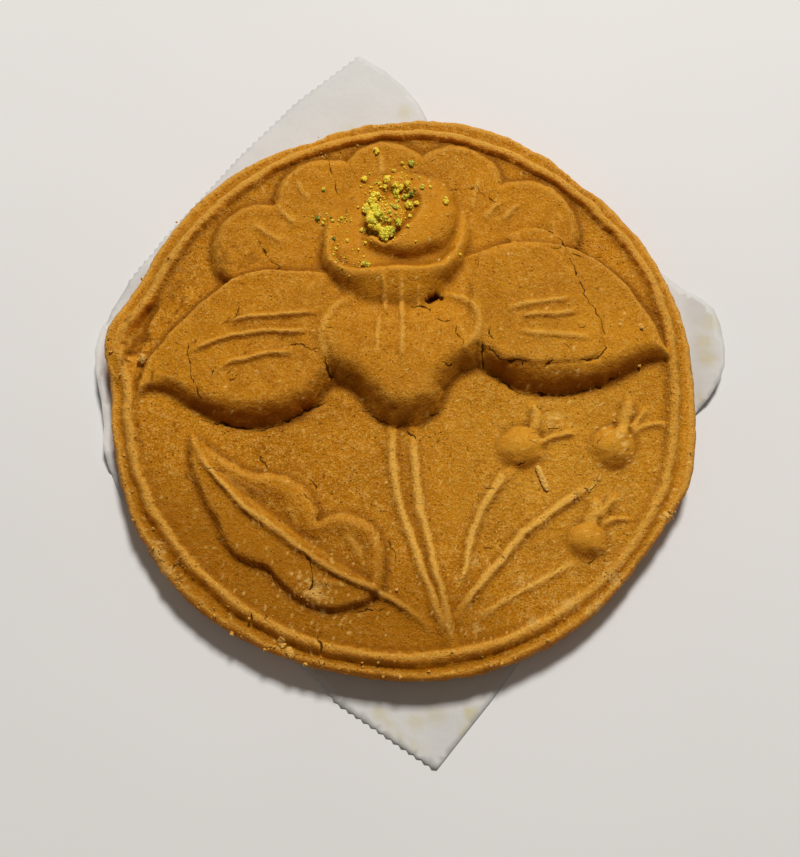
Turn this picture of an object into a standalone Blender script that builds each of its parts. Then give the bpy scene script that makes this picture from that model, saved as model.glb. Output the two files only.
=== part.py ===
"""Moulded sandesh on its sheet of greaseproof paper.

A round of sweetened fresh cheese is pressed into a carved mould, so one side carries a flower in
relief: a fan of back petals, two side petals, a three-lobed front petal, a cup with a bud, a stem,
a leaf and three round fruits, all inside a raised ring.  Lengths in the tables are millimetres,
measured from the centre of the ring and up from the flat field that the relief stands on.
"""
import math

import bmesh
import bpy
import numpy as np
from mathutils import Matrix, Vector
from mathutils.geometry import delaunay_2d_cdt

MM = 0.001

# Driving sizes of the sweet
FIELD_THICKNESS = 9.0
RING_RADIUS = 71.3
EDGE_RADIUS = 75.6
EDGE_DROP = 1.7
PAPER_THICKNESS = 0.4
REST_GAP = 0.3

# Where the centre of the ring stands, so that the whole piece is centred on the origin
RING_CENTRE = (-1.7, -2.75)

# How far the ring and the outer edge wander from a true circle: angle, size, spread
RING_BULGES = (
    (45, -0.6, 14), (86, 0.4, 12), (130, -0.7, 22), (172, 4.2, 4.5),
    (208, 0.9, 20), (275, 0.5, 20), (325, 0.9, 14), (354, -1.5, 12),
)
EDGE_BULGES = (
    (52, -1.2, 4), (76, 2.1, 12), (111, -1.0, 4), (138, 0.9, 10), (171, 3.6, 5.5),
    (222, 3.0, 20), (285, 1.5, 14), (305, 0.6, 8), (340, 2.0, 7),
)

# The plain field is a little wavy: height of the swells, and their lengths across and up
FIELD_SWELL = 0.18
FIELD_SWELL_LENGTHS = (11.0, 9.0)

# How squarely the face rounds off into the side
EDGE_SQUARENESS = 8.0

# The raised ring: height of its crest, how far it falls away outwards, how far its crest reaches
# inwards, how squarely it drops to the field there, and where it was scraped low
RING_HEIGHT = 1.6
RING_OUTER_WIDTH = 1.9
RING_INNER_WIDTH = 1.6
RING_SQUARENESS = 5.0
RING_SCRAPE = (314, 0.6, 9)

# At the left the ring was pressed out against the edge into one flat band: where, its spread, and
# its height as a share of the ring's
PRESSED_BAND = (172, 5.5, 0.9)

# The field dips beside the ring: how deep, how far inside the ring's foot, and how wide the dip is
MOAT_DEPTH = 0.7
MOAT_PLACE = 0.9
MOAT_WIDTH = 2.2

# The flange outside the ring: depth of the groove beside the ring and its share of the way to the
# edge, then the swell beyond it: its height, its share of the way, and its spread
GROOVE_DEPTH = 1.0
GROOVE_PLACE = 0.44
SWELL_HEIGHT = 0.5
SWELL_PLACE = 0.78
SWELL_SPREAD = 0.15

# Petals of the back fan: centre and radius of each scallop
FAN_LOBES = (
    (-38.5, 36.5, 13.6), (-21.0, 48.5, 15.3), (-5.0, 56.0, 13.0),
    (13.5, 53.5, 14.4), (32.0, 42.0, 15.4), (-3.0, 30.0, 33.0),
)
FAN_HEIGHT = 3.4
FAN_SLOPE = 3.2

# The share of the width of a petal's wall over which it climbs straight, before it rolls over
WALL_SHARE = 0.3

# Each petal and the leaf: its outline, its heights, and how wide its back and front slopes are

LEFT_WING = (
    (-69.5, -5.0), (-68.0, 2.0), (-64.0, 9.5), (-59.0, 15.2), (-53.5, 20.5), (-48.0, 25.5),
    (-43.0, 28.2), (-37.0, 29.3), (-30.0, 29.5), (-22.0, 29.0), (-12.0, 24.0), (-10.0, 12.0),
    (-15.0, 2.0), (-20.0, -3.5), (-24.5, -8.8), (-30.0, -12.0), (-38.0, -13.6), (-44.0, -13.0),
    (-50.0, -11.0), (-56.0, -7.6), (-61.5, -4.2), (-66.0, -3.4),
)
LEFT_WING_RISE = ((-70, 1.4), (-64, 2.8), (-57, 4.4), (-48, 5.8), (-36, 6.3), (-26, 5.8), (-17, 4.2))
LEFT_WING_SLOPES = (2.0, 7.0)

RIGHT_WING = (
    (70.2, 5.2), (68.0, 9.5), (65.0, 16.5), (61.0, 23.0), (57.0, 28.2), (52.5, 31.8),
    (47.5, 34.5), (43.4, 36.2), (38.4, 37.2), (30.2, 37.6), (24.4, 36.8), (19.3, 34.9),
    (12.0, 31.5), (6.5, 26.0), (9.0, 10.0), (21.0, 1.8), (26.0, -1.5), (32.0, -4.0),
    (38.0, -4.7), (45.0, -4.1), (52.0, -2.0), (58.0, 1.0), (62.5, 3.8), (66.5, 4.6),
)
RIGHT_WING_RISE = ((13, 4.0), (20, 5.0), (28, 6.0), (45, 6.2), (56, 5.6), (64, 4.3), (70, 2.2))
RIGHT_WING_SLOPES = (2.0, 7.0)

# The inner part of the right side petal stands a little proud of its outer border
RIGHT_INNER = (
    (19.0, 31.6), (24.5, 34.4), (30.5, 35.6), (36.0, 35.2), (40.5, 32.8), (43.0, 29.2),
    (45.8, 25.5), (48.5, 20.5), (50.8, 15.0), (50.6, 9.5), (50.2, 5.4), (47.6, 3.2),
    (42.0, 2.6), (35.4, 1.9), (29.3, 2.6), (24.6, 3.0), (21.2, 6.4), (16.6, 13.0),
)
RIGHT_INNER_STEP = 0.7
RIGHT_INNER_SLOPES = (1.4, 0.7)

# A thin layer of the right petal shows behind it, on the fan
RIGHT_BACK = (
    (27.0, 38.8), (30.6, 41.0), (34.3, 41.8), (39.0, 41.4), (42.2, 38.8), (43.2, 35.6),
    (38.0, 33.0), (30.0, 34.0),
)
RIGHT_BACK_HEIGHT = 4.4
RIGHT_BACK_SLOPES = (1.0, 1.2)

FRONT_PETAL = (
    (-16.0, 20.5), (-20.5, 17.6), (-23.2, 12.5), (-22.8, 5.5), (-20.5, 0.5), (-17.5, -1.8),
    (-13.5, -3.4), (-10.2, -7.6), (-5.5, -12.2), (0.0, -13.2), (5.2, -12.0), (9.0, -8.8),
    (11.0, -3.2), (14.5, 0.2), (19.0, 2.4), (21.2, 7.0), (21.2, 13.0), (19.0, 18.0),
    (14.0, 21.6), (8.0, 24.0), (0.0, 25.0), (-8.0, 24.0),
)
FRONT_PETAL_RISE = ((2, 7.2), (8, 6.6), (13, 5.7), (18, 4.4), (25, 3.0))
FRONT_PETAL_SLOPES = (2.2, 7.8)

# The cup: where its wall starts, its rim, and their heights from front to back
CUP_FOOT = (
    (-22.0, 36.0), (-21.8, 29.4), (-18.6, 24.4), (-13.8, 21.2), (-8.0, 18.8), (-2.6, 17.8),
    (3.6, 17.8), (8.0, 19.8), (11.6, 24.2), (14.6, 28.8), (16.9, 34.6), (17.6, 41.0),
    (16.0, 48.0), (10.8, 54.4), (2.4, 57.8), (-6.0, 58.2), (-14.8, 54.6), (-20.4, 47.6),
)
CUP_RIM = (
    (-20.4, 36.4), (-19.6, 31.0), (-16.8, 27.6), (-12.6, 26.4), (-7.4, 26.9), (-2.0, 27.7),
    (3.4, 27.6), (8.6, 28.5), (12.4, 31.0), (14.6, 35.0), (15.5, 40.0), (14.8, 46.4),
    (9.8, 51.8), (2.4, 54.8), (-5.8, 55.2), (-13.8, 51.8), (-18.8, 45.6),
)
CUP_RIM_RISE = ((28, 8.2), (32, 7.3), (36, 6.1), (40, 5.0), (44, 4.0), (48, 3.2))
CUP_FLOOR_RISE = ((28, 5.2), (36, 4.7), (42, 3.9), (48, 3.2))
CUP_FOOT_HEIGHT = 3.1
CUP_LIP_WIDTH = 2.9
CUP_WALL_BULGE = 0.55

# The petal curled round the bud: its outline, and how far it stands above the cup's floor from
# front to back; then the dip beside the bud, and the bud
CURL = (
    (-10.6, 36.6), (-6.0, 33.4), (0.2, 32.0), (6.0, 32.8), (10.6, 35.2), (13.4, 40.0),
    (14.4, 46.0), (12.0, 53.0), (6.0, 57.0), (-3.0, 58.0), (-7.6, 52.0), (-10.4, 43.0),
)
CURL_STEP = ((34, 3.0), (42, 3.9), (50, 3.3), (58, 1.0))
CURL_SLOPES = (8.0, 3.8)
BUD_DIP = (
    (-12.2, 45.0), (-11.2, 41.0), (-8.8, 37.4), (-5.2, 35.0), (-2.0, 36.4), (1.4, 39.6),
    (4.2, 43.4), (5.0, 47.0), (3.4, 50.6), (-2.0, 53.6), (-7.6, 53.4), (-11.4, 50.0),
)
BUD_DIP_DEPTH = 2.1
BUD_DIP_SLOPES = (2.4, 2.0)
BUD = (-4.3, 42.9, 7.8, 9.0)

LEAF = (
    (-54.8, -14.5), (-50.9, -17.4), (-45.0, -21.2), (-38.5, -24.9), (-34.1, -25.1),
    (-29.0, -26.1), (-23.8, -30.1), (-21.0, -35.4), (-21.4, -37.4), (-19.6, -36.3),
    (-14.9, -35.7), (-9.3, -37.6), (-5.5, -41.9), (-4.3, -47.6), (-4.8, -52.7),
    (-7.4, -57.0), (-12.1, -59.4), (-18.3, -60.2), (-24.1, -58.8), (-28.2, -56.3),
    (-31.4, -53.1), (-33.6, -50.4), (-37.7, -49.1), (-42.8, -46.6), (-46.0, -42.2),
    (-47.4, -38.0), (-50.8, -33.0), (-53.6, -26.6), (-55.2, -20.0),
)
LEAF_HEIGHT = 2.4
LEAF_SLOPES = (2.4, 1.7)

# Between its raised upper border and its midrib the leaf is hollow, deepest along the midrib
LEAF_HOLLOW = (
    (-49.4, -21.2), (-44.5, -24.4), (-38.1, -27.7), (-33.7, -28.9), (-29.0, -31.4),
    (-25.4, -35.8), (-22.4, -39.4), (-19.4, -39.0), (-15.4, -38.5), (-11.2, -40.2),
    (-8.2, -44.2), (-7.2, -49.6), (-7.2, -54.0), (-12.4, -51.2), (-18.6, -47.4),
    (-25.0, -43.0), (-31.6, -38.4), (-38.4, -33.4), (-44.6, -27.8),
)
LEAF_HOLLOW_DEPTH = 1.5
LEAF_HOLLOW_SLOPES = (5.0, 1.3)

# Round fruits: centre, radius and height, then how steeply they rise from their foot
FRUITS = ((29.6, -18.6, 5.7, 3.2), (53.2, -18.4, 5.8, 3.3), (45.4, -42.6, 4.7, 3.0))
DOME_ROUNDNESS = 0.8

# Ridges that stand on whatever is below them: how flat their tops are, how softly they meet what
# they stand on, the share of their length over which they fade, and how much of them is left at the
# end; then for each its height, half its width at both ends, and the points it passes
RIDGE_FLATNESS = 2.0
RIDGE_SOFTNESS = 1.1
RIDGE_FADE = 0.12
RIDGE_END = 0.3
STEMS = (
    (1.2, (1.2, 1.1), ((-3.2, -12.0), (-2.9, -20.0), (-2.2, -29.0), (1.0, -40.0), (4.3, -50.0),
                       (8.0, -60.0), (11.2, -68.0))),
    (1.2, (1.2, 1.0), ((2.1, -13.5), (2.4, -20.0), (3.2, -30.0), (5.2, -40.0), (7.6, -50.0),
                       (10.2, -60.0), (12.6, -69.0))),
    (1.3, (1.4, 0.8), ((26.8, -24.9), (23.7, -28.2), (19.6, -34.3), (16.9, -41.5), (15.2, -48.1),
                       (12.6, -55.2))),
    (1.3, (1.4, 1.0), ((46.2, -28.6), (43.9, -30.9), (39.5, -33.7), (33.5, -38.2), (27.6, -43.4),
                       (21.6, -50.4), (15.6, -57.2), (12.6, -61.6))),
    (0.8, (0.8, 0.9), ((43.6, -47.8), (39.6, -49.3), (34.3, -52.5), (27.8, -55.8), (22.4, -58.9),
                       (17.6, -61.4))),
    (1.3, (1.0, 1.1), ((-54.0, -17.6), (-49.6, -24.2), (-44.3, -30.3), (-38.4, -35.6), (-31.4, -40.8),
                       (-25.1, -45.4), (-18.3, -49.9), (-10.9, -53.7), (-4.8, -56.5), (1.0, -60.0),
                       (7.0, -64.6))),
)
SEPALS = (
    (1.3, (1.1, 1.5), ((33.0, -7.2), (33.8, -10.4), (32.8, -14.4))),
    (0.4, (2.4, 1.2), ((34.4, -12.4), (37.0, -12.2), (40.0, -13.2), (43.4, -14.6))),
    (1.0, (0.9, 0.9), ((34.8, -17.6), (37.6, -15.8), (43.0, -14.9))),
    (1.5, (1.4, 1.9), ((57.8, -5.8), (57.1, -9.7), (55.7, -13.1), (54.4, -16.0))),
    (0.9, (0.7, 1.0), ((62.0, -8.4), (60.1, -11.1), (57.8, -14.0))),
    (0.8, (0.9, 0.8), ((58.2, -15.3), (61.7, -13.0), (67.0, -12.3))),
    (1.2, (1.8, 1.4), ((46.0, -38.8), (47.0, -36.6), (48.0, -34.2), (48.2, -31.8))),
    (1.2, (1.2, 1.0), ((48.4, -37.4), (50.6, -34.4), (53.2, -31.4))),
    (0.9, (1.0, 0.7), ((49.0, -39.2), (52.5, -37.2), (57.0, -37.2))),
)
VEINS = (
    (0.9, (0.7, 0.9), ((-46.0, 13.7), (-42.9, 14.3), (-38.1, 14.9), (-31.8, 15.6), (-23.0, 16.6))),
    (1.0, (0.8, 0.9), ((-55.0, 5.6), (-51.6, 7.0), (-46.9, 8.6), (-39.3, 10.3), (-30.0, 10.9),
                       (-25.0, 11.0))),
    (0.9, (0.7, 0.9), ((-47.4, 0.9), (-43.4, 2.6), (-39.0, 4.0), (-34.0, 4.8), (-29.4, 5.4))),
    (0.6, (0.9, 0.9), ((26.6, 17.0), (34.5, 18.7), (43.0, 19.8))),
    (0.7, (0.9, 0.9), ((30.0, 15.2), (37.9, 15.2), (45.0, 16.4))),
    (0.5, (0.9, 0.9), ((28.8, 11.1), (37.7, 10.1), (47.4, 8.8))),
    (0.8, (0.7, 1.0), ((-1.2, 25.6), (-0.9, 20.9), (-0.7, 15.2), (-0.6, 9.5), (-0.4, 2.2))),
    (0.8, (0.8, 0.7), ((-5.4, 25.6), (-5.0, 22.0), (-4.8, 16.6))),
    (0.5, (0.7, 0.8), ((-6.4, 15.4), (-6.9, 9.7), (-7.5, 3.6))),
    (0.6, (0.6, 0.6), ((3.6, 23.6), (3.6, 21.1), (4.0, 17.6))),
    (0.7, (1.0, 1.2), ((-14.6, 20.6), (-18.2, 18.4), (-20.4, 15.1), (-21.2, 10.8), (-20.6, 6.4),
                       (-19.2, 3.6))),
    (0.6, (0.8, 1.2), ((10.6, 21.8), (15.0, 20.6), (18.2, 17.8), (19.2, 13.6), (18.3, 9.9), (15.5, 6.6))),
    (0.7, (0.8, 1.1), ((-40.2, 42.5), (-36.5, 39.7), (-32.0, 37.0))),
    (0.7, (0.8, 1.1), ((-34.4, 47.9), (-31.6, 45.0), (-28.8, 42.1))),
    (0.5, (0.8, 1.0), ((-28.9, 55.5), (-27.5, 52.4), (-25.9, 49.4))),
    (0.7, (0.9, 0.9), ((-6.2, 62.9), (-6.1, 59.8), (-6.1, 57.0))),
    (0.7, (0.8, 1.0), ((20.4, 55.8), (19.2, 51.6), (18.2, 46.6))),
    (0.7, (0.8, 1.0), ((25.8, 49.0), (23.4, 46.7), (21.3, 44.2))),
    (0.7, (0.8, 1.0), ((30.6, 48.7), (28.5, 46.2), (26.4, 43.6))),
    (0.6, (0.8, 0.9), ((-14.3, -41.1), (-12.6, -44.0), (-10.4, -47.8))),
    (0.6, (0.8, 0.9), ((-29.4, -33.5), (-28.0, -36.2), (-26.2, -39.4))),
    (0.5, (0.7, 0.9), ((-45.4, -25.6), (-42.6, -28.0), (-39.4, -30.5))),
    (0.5, (0.8, 0.8), ((-21.8, -53.2), (-18.4, -53.5), (-14.4, -54.2))),
)

# A trench between the ring and the left petal, as a ridge of a height below nought
TRENCHES = (
    (-1.4, (1.5, 2.2), ((-65.6, 21.0), (-68.4, 15.6), (-70.2, 10.4), (-71.0, 5.0))),
)

# Pistachio crumbs large enough to show: x, y and radius
CRUMBS = (
    (-8.8, 47.2, 1.9), (-9.4, 43.6, 2.0), (-7.6, 41.0, 2.2), (-5.6, 36.9, 2.6),
    (-4.9, 54.2, 1.8), (-1.8, 52.0, 1.4), (-10.8, 55.3, 1.2), (-7.9, 65.0, 1.4),
    (1.0, 48.4, 1.6), (3.0, 46.4, 1.1), (10.7, 48.0, 1.1), (1.5, 60.3, 0.9),
    (-23.7, 44.0, 0.9), (-19.0, 37.4, 0.9), (-10.8, 29.3, 1.2), (-2.0, 40.2, 1.0),
)
CRUMB_SINK = 0.35
CRUMB_UNEVENNESS = (0.82, 1.12)

# Shreds and a lump of the sweet itself that lie loose on it: ends, width and height
SHREDS = (
    ((33.6, -23.4), (36.0, -30.0), 1.9, 1.4),
    ((-29.8, -66.8), (-28.4, -69.4), 2.2, 1.4),
    ((-28.0, -69.2), (-26.8, -71.4), 1.9, 1.2),
)
LOOSE_LUMP = (-68.3, 5.0, 1.2)
SHRED_BEVEL = 0.25
SHRED_SINK = 0.3

# The corners of the sheet of paper, and the rounded ends of its two bent-up side flaps, in plan
PAPER_EDGE = (
    (-12.9, 102.9), (-31.0, 87.2), (-46.7, 69.6), (-61.5, 50.5), (-75.8, 30.3), (-79.8, 23.0),
    (-81.6, 16.6), (-82.2, 9.4), (-81.5, 3.0), (-79.9, -4.0), (-78.9, -10.6), (-78.6, -16.4),
    (-77.2, -21.8), (-73.9, -29.5), (-66.0, -38.5), (-21.0, -76.6), (-16.4, -81.6), (7.8, -97.4),
    (21.6, -80.8), (28.4, -72.1), (78.2, -5.6), (80.9, -2.6), (83.6, 1.7), (85.2, 5.8),
    (85.6, 11.0), (85.0, 17.7), (83.7, 22.0), (80.6, 25.6), (71.2, 33.8), (7.4, 80.2),
    (4.2, 87.2), (-0.1, 92.7), (-5.6, 98.0),
)
# Each flap is bent up along a line: two points on the line, how high the flap gets, and its slope
PAPER_FLAPS = (
    (((-77.0, -20.0), (-80.3, 14.0)), 6.0, 3.0),
    (((76.2, 40.0), (76.2, -10.0)), 4.6, 0.5),
)

# Spacing of the surface points: along the edge, along the relief's lines, and in plain areas
EDGE_STEPS = 168
LINE_SPACING = 2.1
LINE_CLEARANCE = 1.15
OPEN_SPACING = 4.2
OPEN_CLEARANCE = 2.3
PAPER_SPACING = 11.0
FOLD_SPACING = 4.0
EDGE_CLEARANCE = 0.6
EDGE_PITCH = 14.0

# Where rows of surface points run: shares of the way across the flange, distances outside the
# ring, distances inside the outlines, and rows round each fruit as shares of its radius with counts
FLANGE_SHARES = (0.95, 0.75)
RING_OFFSETS = (1.9, 0.7, -0.9)
RIM_OFFSETS = (0.0, -1.7, 1.7, -3.4)
PAD_OFFSETS = (-0.2, 1.2, 3.0)
ROLL_OFFSET = 5.2
LAYER_OFFSETS = (0.0, 1.5)
LOBE_OFFSETS = (0.1, -1.3, -3.0)
LOBE_STEPS = 36
FRUIT_ROWS = ((1.0, 16), (0.8, 12), (0.45, 7))

# The side below the edge: how far each row of points stands outside it, and its level
SIDE_ROWS = ((0.1, -4.6), (-0.2, -7.4), (-1.5, -FIELD_THICKNESS))
SHARP_EDGE = math.radians(50.0)


def wavy_radius(mean, bulges, angle):
    """Radius at each angle in radians: a circle with named bulges and dips."""
    radius = np.full_like(angle, mean)
    for centre, size, spread in bulges:
        away = np.degrees(angle) - centre
        away = (away + 180.0) % 360.0 - 180.0
        radius = radius + size * np.exp(-0.5 * (away / spread) ** 2)
    return radius


def smooth_curve(points, step, closed=False):
    """Dots about one step apart on a smooth curve through the points, in two or three axes."""
    given = np.array(points, float)
    if closed:
        padded = np.vstack([given[-1:], given, given[:2]])
    else:
        padded = np.vstack([2 * given[0] - given[1], given, 2 * given[-1] - given[-2]])
    dots = []
    for before, start, end, after in zip(padded, padded[1:], padded[2:], padded[3:]):
        pieces = max(1, round(np.hypot(*(end - start)[:2]) / step))
        t = np.arange(pieces)[:, None] / pieces
        dots.append(0.5 * (2 * start + (end - before) * t
                           + (2 * before - 5 * start + 4 * end - after) * t ** 2
                           + (3 * start - before - 3 * end + after) * t ** 3))
    if not closed:
        dots.append(given[-1:])
    return np.vstack(dots)


def nearest(line, x, y, closed=False):
    """Distance to a line of dots, the share of the way along it, and how far above it a point is."""
    starts = line if closed else line[:-1]
    ends = np.roll(line, -1, axis=0) if closed else line[1:]
    best = np.full(x.shape, np.inf)
    along = np.zeros(x.shape)
    away_y = np.zeros(x.shape)
    for number, (start, end) in enumerate(zip(starts, ends)):
        run = end[:2] - start[:2]
        length = max(run @ run, 1e-12)
        t = np.clip(((x - start[0]) * run[0] + (y - start[1]) * run[1]) / length, 0.0, 1.0)
        off_x = x - start[0] - t * run[0]
        off_y = y - start[1] - t * run[1]
        gap = np.hypot(off_x, off_y)
        closer = gap < best
        best = np.where(closer, gap, best)
        along = np.where(closer, (number + t) / len(starts), along)
        away_y = np.where(closer, off_y / np.maximum(gap, 1e-9), away_y)
    return best, along, away_y


def inside(loop, x, y):
    """True where a point lies inside a closed loop of dots."""
    odd = np.zeros(x.shape, bool)
    for (ax, ay), (bx, by) in zip(loop, np.roll(loop, -1, axis=0)):
        if ay == by:
            continue
        crosses = (ay > y) != (by > y)
        odd ^= crosses & (x < (bx - ax) * (y - ay) / (by - ay) + ax)
    return odd


def rounded(share):
    """A swell that starts steep at its foot and bends over evenly to level."""
    return np.sin(0.5 * math.pi * np.clip(share, 0.0, 1.0))


def shoulder(share):
    """A wall that climbs straight for the first part of its width and then rolls over to level."""
    share = np.clip(share, 0.0, 1.0)
    steep = 2.0 / (1.0 + WALL_SHARE)
    rolled = 1.0 - 0.5 * steep * (1.0 - share) ** 2 / (1.0 - WALL_SHARE)
    return np.where(share < WALL_SHARE, steep * share, rolled)


def only_near(reach, margin, x, y, shape):
    """A shape's height, worked out only in the box round the points it is made from."""
    given = np.array(reach, float)[:, :2]
    low = given.min(axis=0) - margin
    high = given.max(axis=0) + margin
    near = (x > low[0]) & (x < high[0]) & (y > low[1]) & (y < high[1])
    height = np.zeros(x.shape)
    height[near] = shape(x[near], y[near])
    return height


def pad(x, y, outline, top, slopes, along_y=False):
    """A raised pad: its foot is the outline, and its back and front slopes have their own widths.

    Its top is one height, or heights at places along x, or along y.  Its walls are as steep where
    it is low as where it is tallest.
    """
    loop = smooth_curve(outline, 1.0, closed=True)
    back_slope, front_slope = slopes
    tallest = max(level for _, level in top) if isinstance(top, tuple) else top

    def shape(px, py):
        gap, _, away_y = nearest(loop, px, py, closed=True)
        slope = back_slope + (front_slope - back_slope) * 0.5 * (1.0 + away_y)
        tall = np.interp(py if along_y else px, *zip(*top)) if isinstance(top, tuple) else top
        width = slope * tall / tallest
        return np.where(inside(loop, px, py), tall * shoulder(gap / width), 0.0)

    return only_near(loop, 0.0, x, y, shape)


def bowl(x, y):
    """The cup: a wall that bulges up from its foot to its rim, and a floor inside the lip."""
    foot = smooth_curve(CUP_FOOT, 1.0, closed=True)
    rim = smooth_curve(CUP_RIM, 1.0, closed=True)

    def shape(px, py):
        foot_gap, _, _ = nearest(foot, px, py, closed=True)
        rim_gap, _, _ = nearest(rim, px, py, closed=True)
        top = np.interp(py, *zip(*CUP_RIM_RISE))
        floor = np.interp(py, *zip(*CUP_FLOOR_RISE))
        share = foot_gap / (foot_gap + rim_gap)
        share = CUP_WALL_BULGE * rounded(share) + (1.0 - CUP_WALL_BULGE) * share
        wall = CUP_FOOT_HEIGHT + (top - CUP_FOOT_HEIGHT) * share
        lip = 0.5 + 0.5 * np.cos(math.pi * np.clip(rim_gap / CUP_LIP_WIDTH, 0.0, 1.0))
        height = np.where(inside(rim, px, py), floor + (top - floor) * lip, wall)
        return np.where(inside(foot, px, py), height, 0.0)

    return only_near(foot, 0.0, x, y, shape)


def ridge(x, y, points, tall, half_widths):
    """Extra height of a thin ridge along a curve, fading out at both ends."""
    line = smooth_curve(points, 0.8)

    def shape(px, py):
        gap, along, _ = nearest(line, px, py)
        fade = np.clip(np.minimum(along, 1.0 - along) / RIDGE_FADE, 0.0, 1.0)
        half_width = np.interp(along, (0.0, 1.0), half_widths)
        shape_share = rounded(RIDGE_FLATNESS * (1.0 - gap / half_width)) ** RIDGE_SOFTNESS
        return tall * shape_share * (RIDGE_END + (1.0 - RIDGE_END) * fade)

    return only_near(line, max(half_widths), x, y, shape)


def dome(x, y, centre_x, centre_y, radius, height):
    """A round cap standing on the field."""
    share = np.hypot(x - centre_x, y - centre_y) / radius
    return height * np.clip(1.0 - share ** 2, 0.0, 1.0) ** DOME_ROUNDNESS


def ring_and_flange(radius, angle):
    """Height outside the relief: the ring, the groove beside it and the flange to the edge."""
    ring = wavy_radius(RING_RADIUS, RING_BULGES, angle)
    edge = wavy_radius(EDGE_RADIUS, EDGE_BULGES, angle)
    centre, loss, spread = RING_SCRAPE
    away = (np.degrees(angle) - centre + 180.0) % 360.0 - 180.0
    height = RING_HEIGHT * (1.0 - loss * np.exp(-0.5 * (away / spread) ** 2))
    inner_share = np.clip((ring - radius) / RING_INNER_WIDTH, 0.0, 1.0)
    inner_side = height * np.sqrt(1.0 - inner_share ** RING_SQUARENESS)
    outer_share = np.clip((radius - ring) / RING_OUTER_WIDTH, 0.0, 1.0)
    outer_side = height * np.cos(0.5 * math.pi * outer_share)
    outward = np.clip((radius - ring) / (edge - ring), 0.0, 1.0)
    swell = SWELL_HEIGHT * np.exp(-0.5 * ((outward - SWELL_PLACE) / SWELL_SPREAD) ** 2)
    fall = EDGE_DROP * (1.0 - np.sqrt(1.0 - outward ** EDGE_SQUARENESS))
    flange = swell - GROOVE_DEPTH * rounded(outward / GROOVE_PLACE) - fall
    centre, spread, level = PRESSED_BAND
    away = (np.degrees(angle) - centre + 180.0) % 360.0 - 180.0
    band = np.exp(-0.5 * (away / spread) ** 2)
    flange = flange + band * (level * height - fall - flange)
    outer_side = np.maximum(outer_side + flange * outer_share, flange)
    return np.where(radius > ring, outer_side, inner_side)


def relief_height(x, y):
    """Height of the moulded face above the field at each point."""
    radius = np.hypot(x, y)
    angle = np.arctan2(y, x)
    ring = wavy_radius(RING_RADIUS, RING_BULGES, angle)
    length_x, length_y = FIELD_SWELL_LENGTHS
    height = FIELD_SWELL * np.sin(x / length_x) * np.cos(y / length_y)
    foot = ring - RING_INNER_WIDTH
    height = height - MOAT_DEPTH * np.exp(-(((foot - MOAT_PLACE - radius) / MOAT_WIDTH) ** 2))
    for centre_x, centre_y, size in FAN_LOBES:
        depth = size - np.hypot(x - centre_x, y - centre_y)
        height = np.maximum(height, FAN_HEIGHT * shoulder(depth / FAN_SLOPE) * (depth > 0))
    height = np.maximum(height, pad(x, y, LEFT_WING, LEFT_WING_RISE, LEFT_WING_SLOPES))
    height = np.maximum(height, pad(x, y, RIGHT_BACK, RIGHT_BACK_HEIGHT, RIGHT_BACK_SLOPES))
    step = pad(x, y, RIGHT_INNER, RIGHT_INNER_STEP, RIGHT_INNER_SLOPES)
    height = np.maximum(height, pad(x, y, RIGHT_WING, RIGHT_WING_RISE, RIGHT_WING_SLOPES) + step)
    petal = pad(x, y, FRONT_PETAL, FRONT_PETAL_RISE, FRONT_PETAL_SLOPES, along_y=True)
    height = np.maximum(height, petal)
    height = np.maximum(height, bowl(x, y))
    curl = pad(x, y, CURL, CURL_STEP, CURL_SLOPES, along_y=True)
    curl_top = curl + np.interp(y, *zip(*CUP_FLOOR_RISE))
    curl_top = curl_top - pad(x, y, BUD_DIP, BUD_DIP_DEPTH, BUD_DIP_SLOPES)
    height = np.where(curl > 0, np.maximum(height, curl_top), height)
    bud_x, bud_y, bud_radius, bud_top = BUD
    height = np.maximum(height, dome(x, y, bud_x, bud_y, bud_radius, bud_top))
    leaf = pad(x, y, LEAF, LEAF_HEIGHT, LEAF_SLOPES)
    leaf = leaf - pad(x, y, LEAF_HOLLOW, LEAF_HOLLOW_DEPTH, LEAF_HOLLOW_SLOPES)
    height = np.maximum(height, leaf)
    for centre_x, centre_y, size, top in FRUITS:
        height = np.maximum(height, dome(x, y, centre_x, centre_y, size, top))
    for tall, half_widths, points in STEMS + SEPALS + VEINS + TRENCHES:
        height = height + ridge(x, y, points, tall, half_widths)
    rim = ring_and_flange(radius, angle)
    on_ring = radius > foot
    return np.where(radius > ring, rim, np.where(on_ring, np.maximum(height, rim), height))


def edge_loop(mean, bulges, offset, count):
    """A closed loop of points that keeps an offset from a wavy circle."""
    angle = np.arange(count) * 2.0 * math.pi / count
    radius = wavy_radius(mean, bulges, angle) + offset
    return np.stack([radius * np.cos(angle), radius * np.sin(angle)], axis=1)


def lattice(reach, spacing):
    """Points of a triangular lattice in a square of the given reach."""
    rows = int(2 * reach / (spacing * 0.866)) + 1
    points = []
    for row in range(rows):
        y = -reach + row * spacing * 0.866
        start = -reach + (row % 2) * 0.5 * spacing
        for column in range(int(2 * reach / spacing) + 1):
            points.append((start + column * spacing, y))
    return np.array(points)


def offset_lines(points, closed, offsets):
    """Dots along a curve and along copies of it moved sideways by each offset."""
    line = smooth_curve(points, LINE_SPACING, closed)[:, :2]
    ahead = np.roll(line, -1, axis=0) if closed else np.vstack([line[1:], 2 * line[-1] - line[-2]])
    run = ahead - line
    run = run / np.maximum(np.hypot(run[:, 0], run[:, 1]), 1e-9)[:, None]
    normal = np.stack([-run[:, 1], run[:, 0]], axis=1)
    return [line + normal * offset for offset in offsets]


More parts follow.
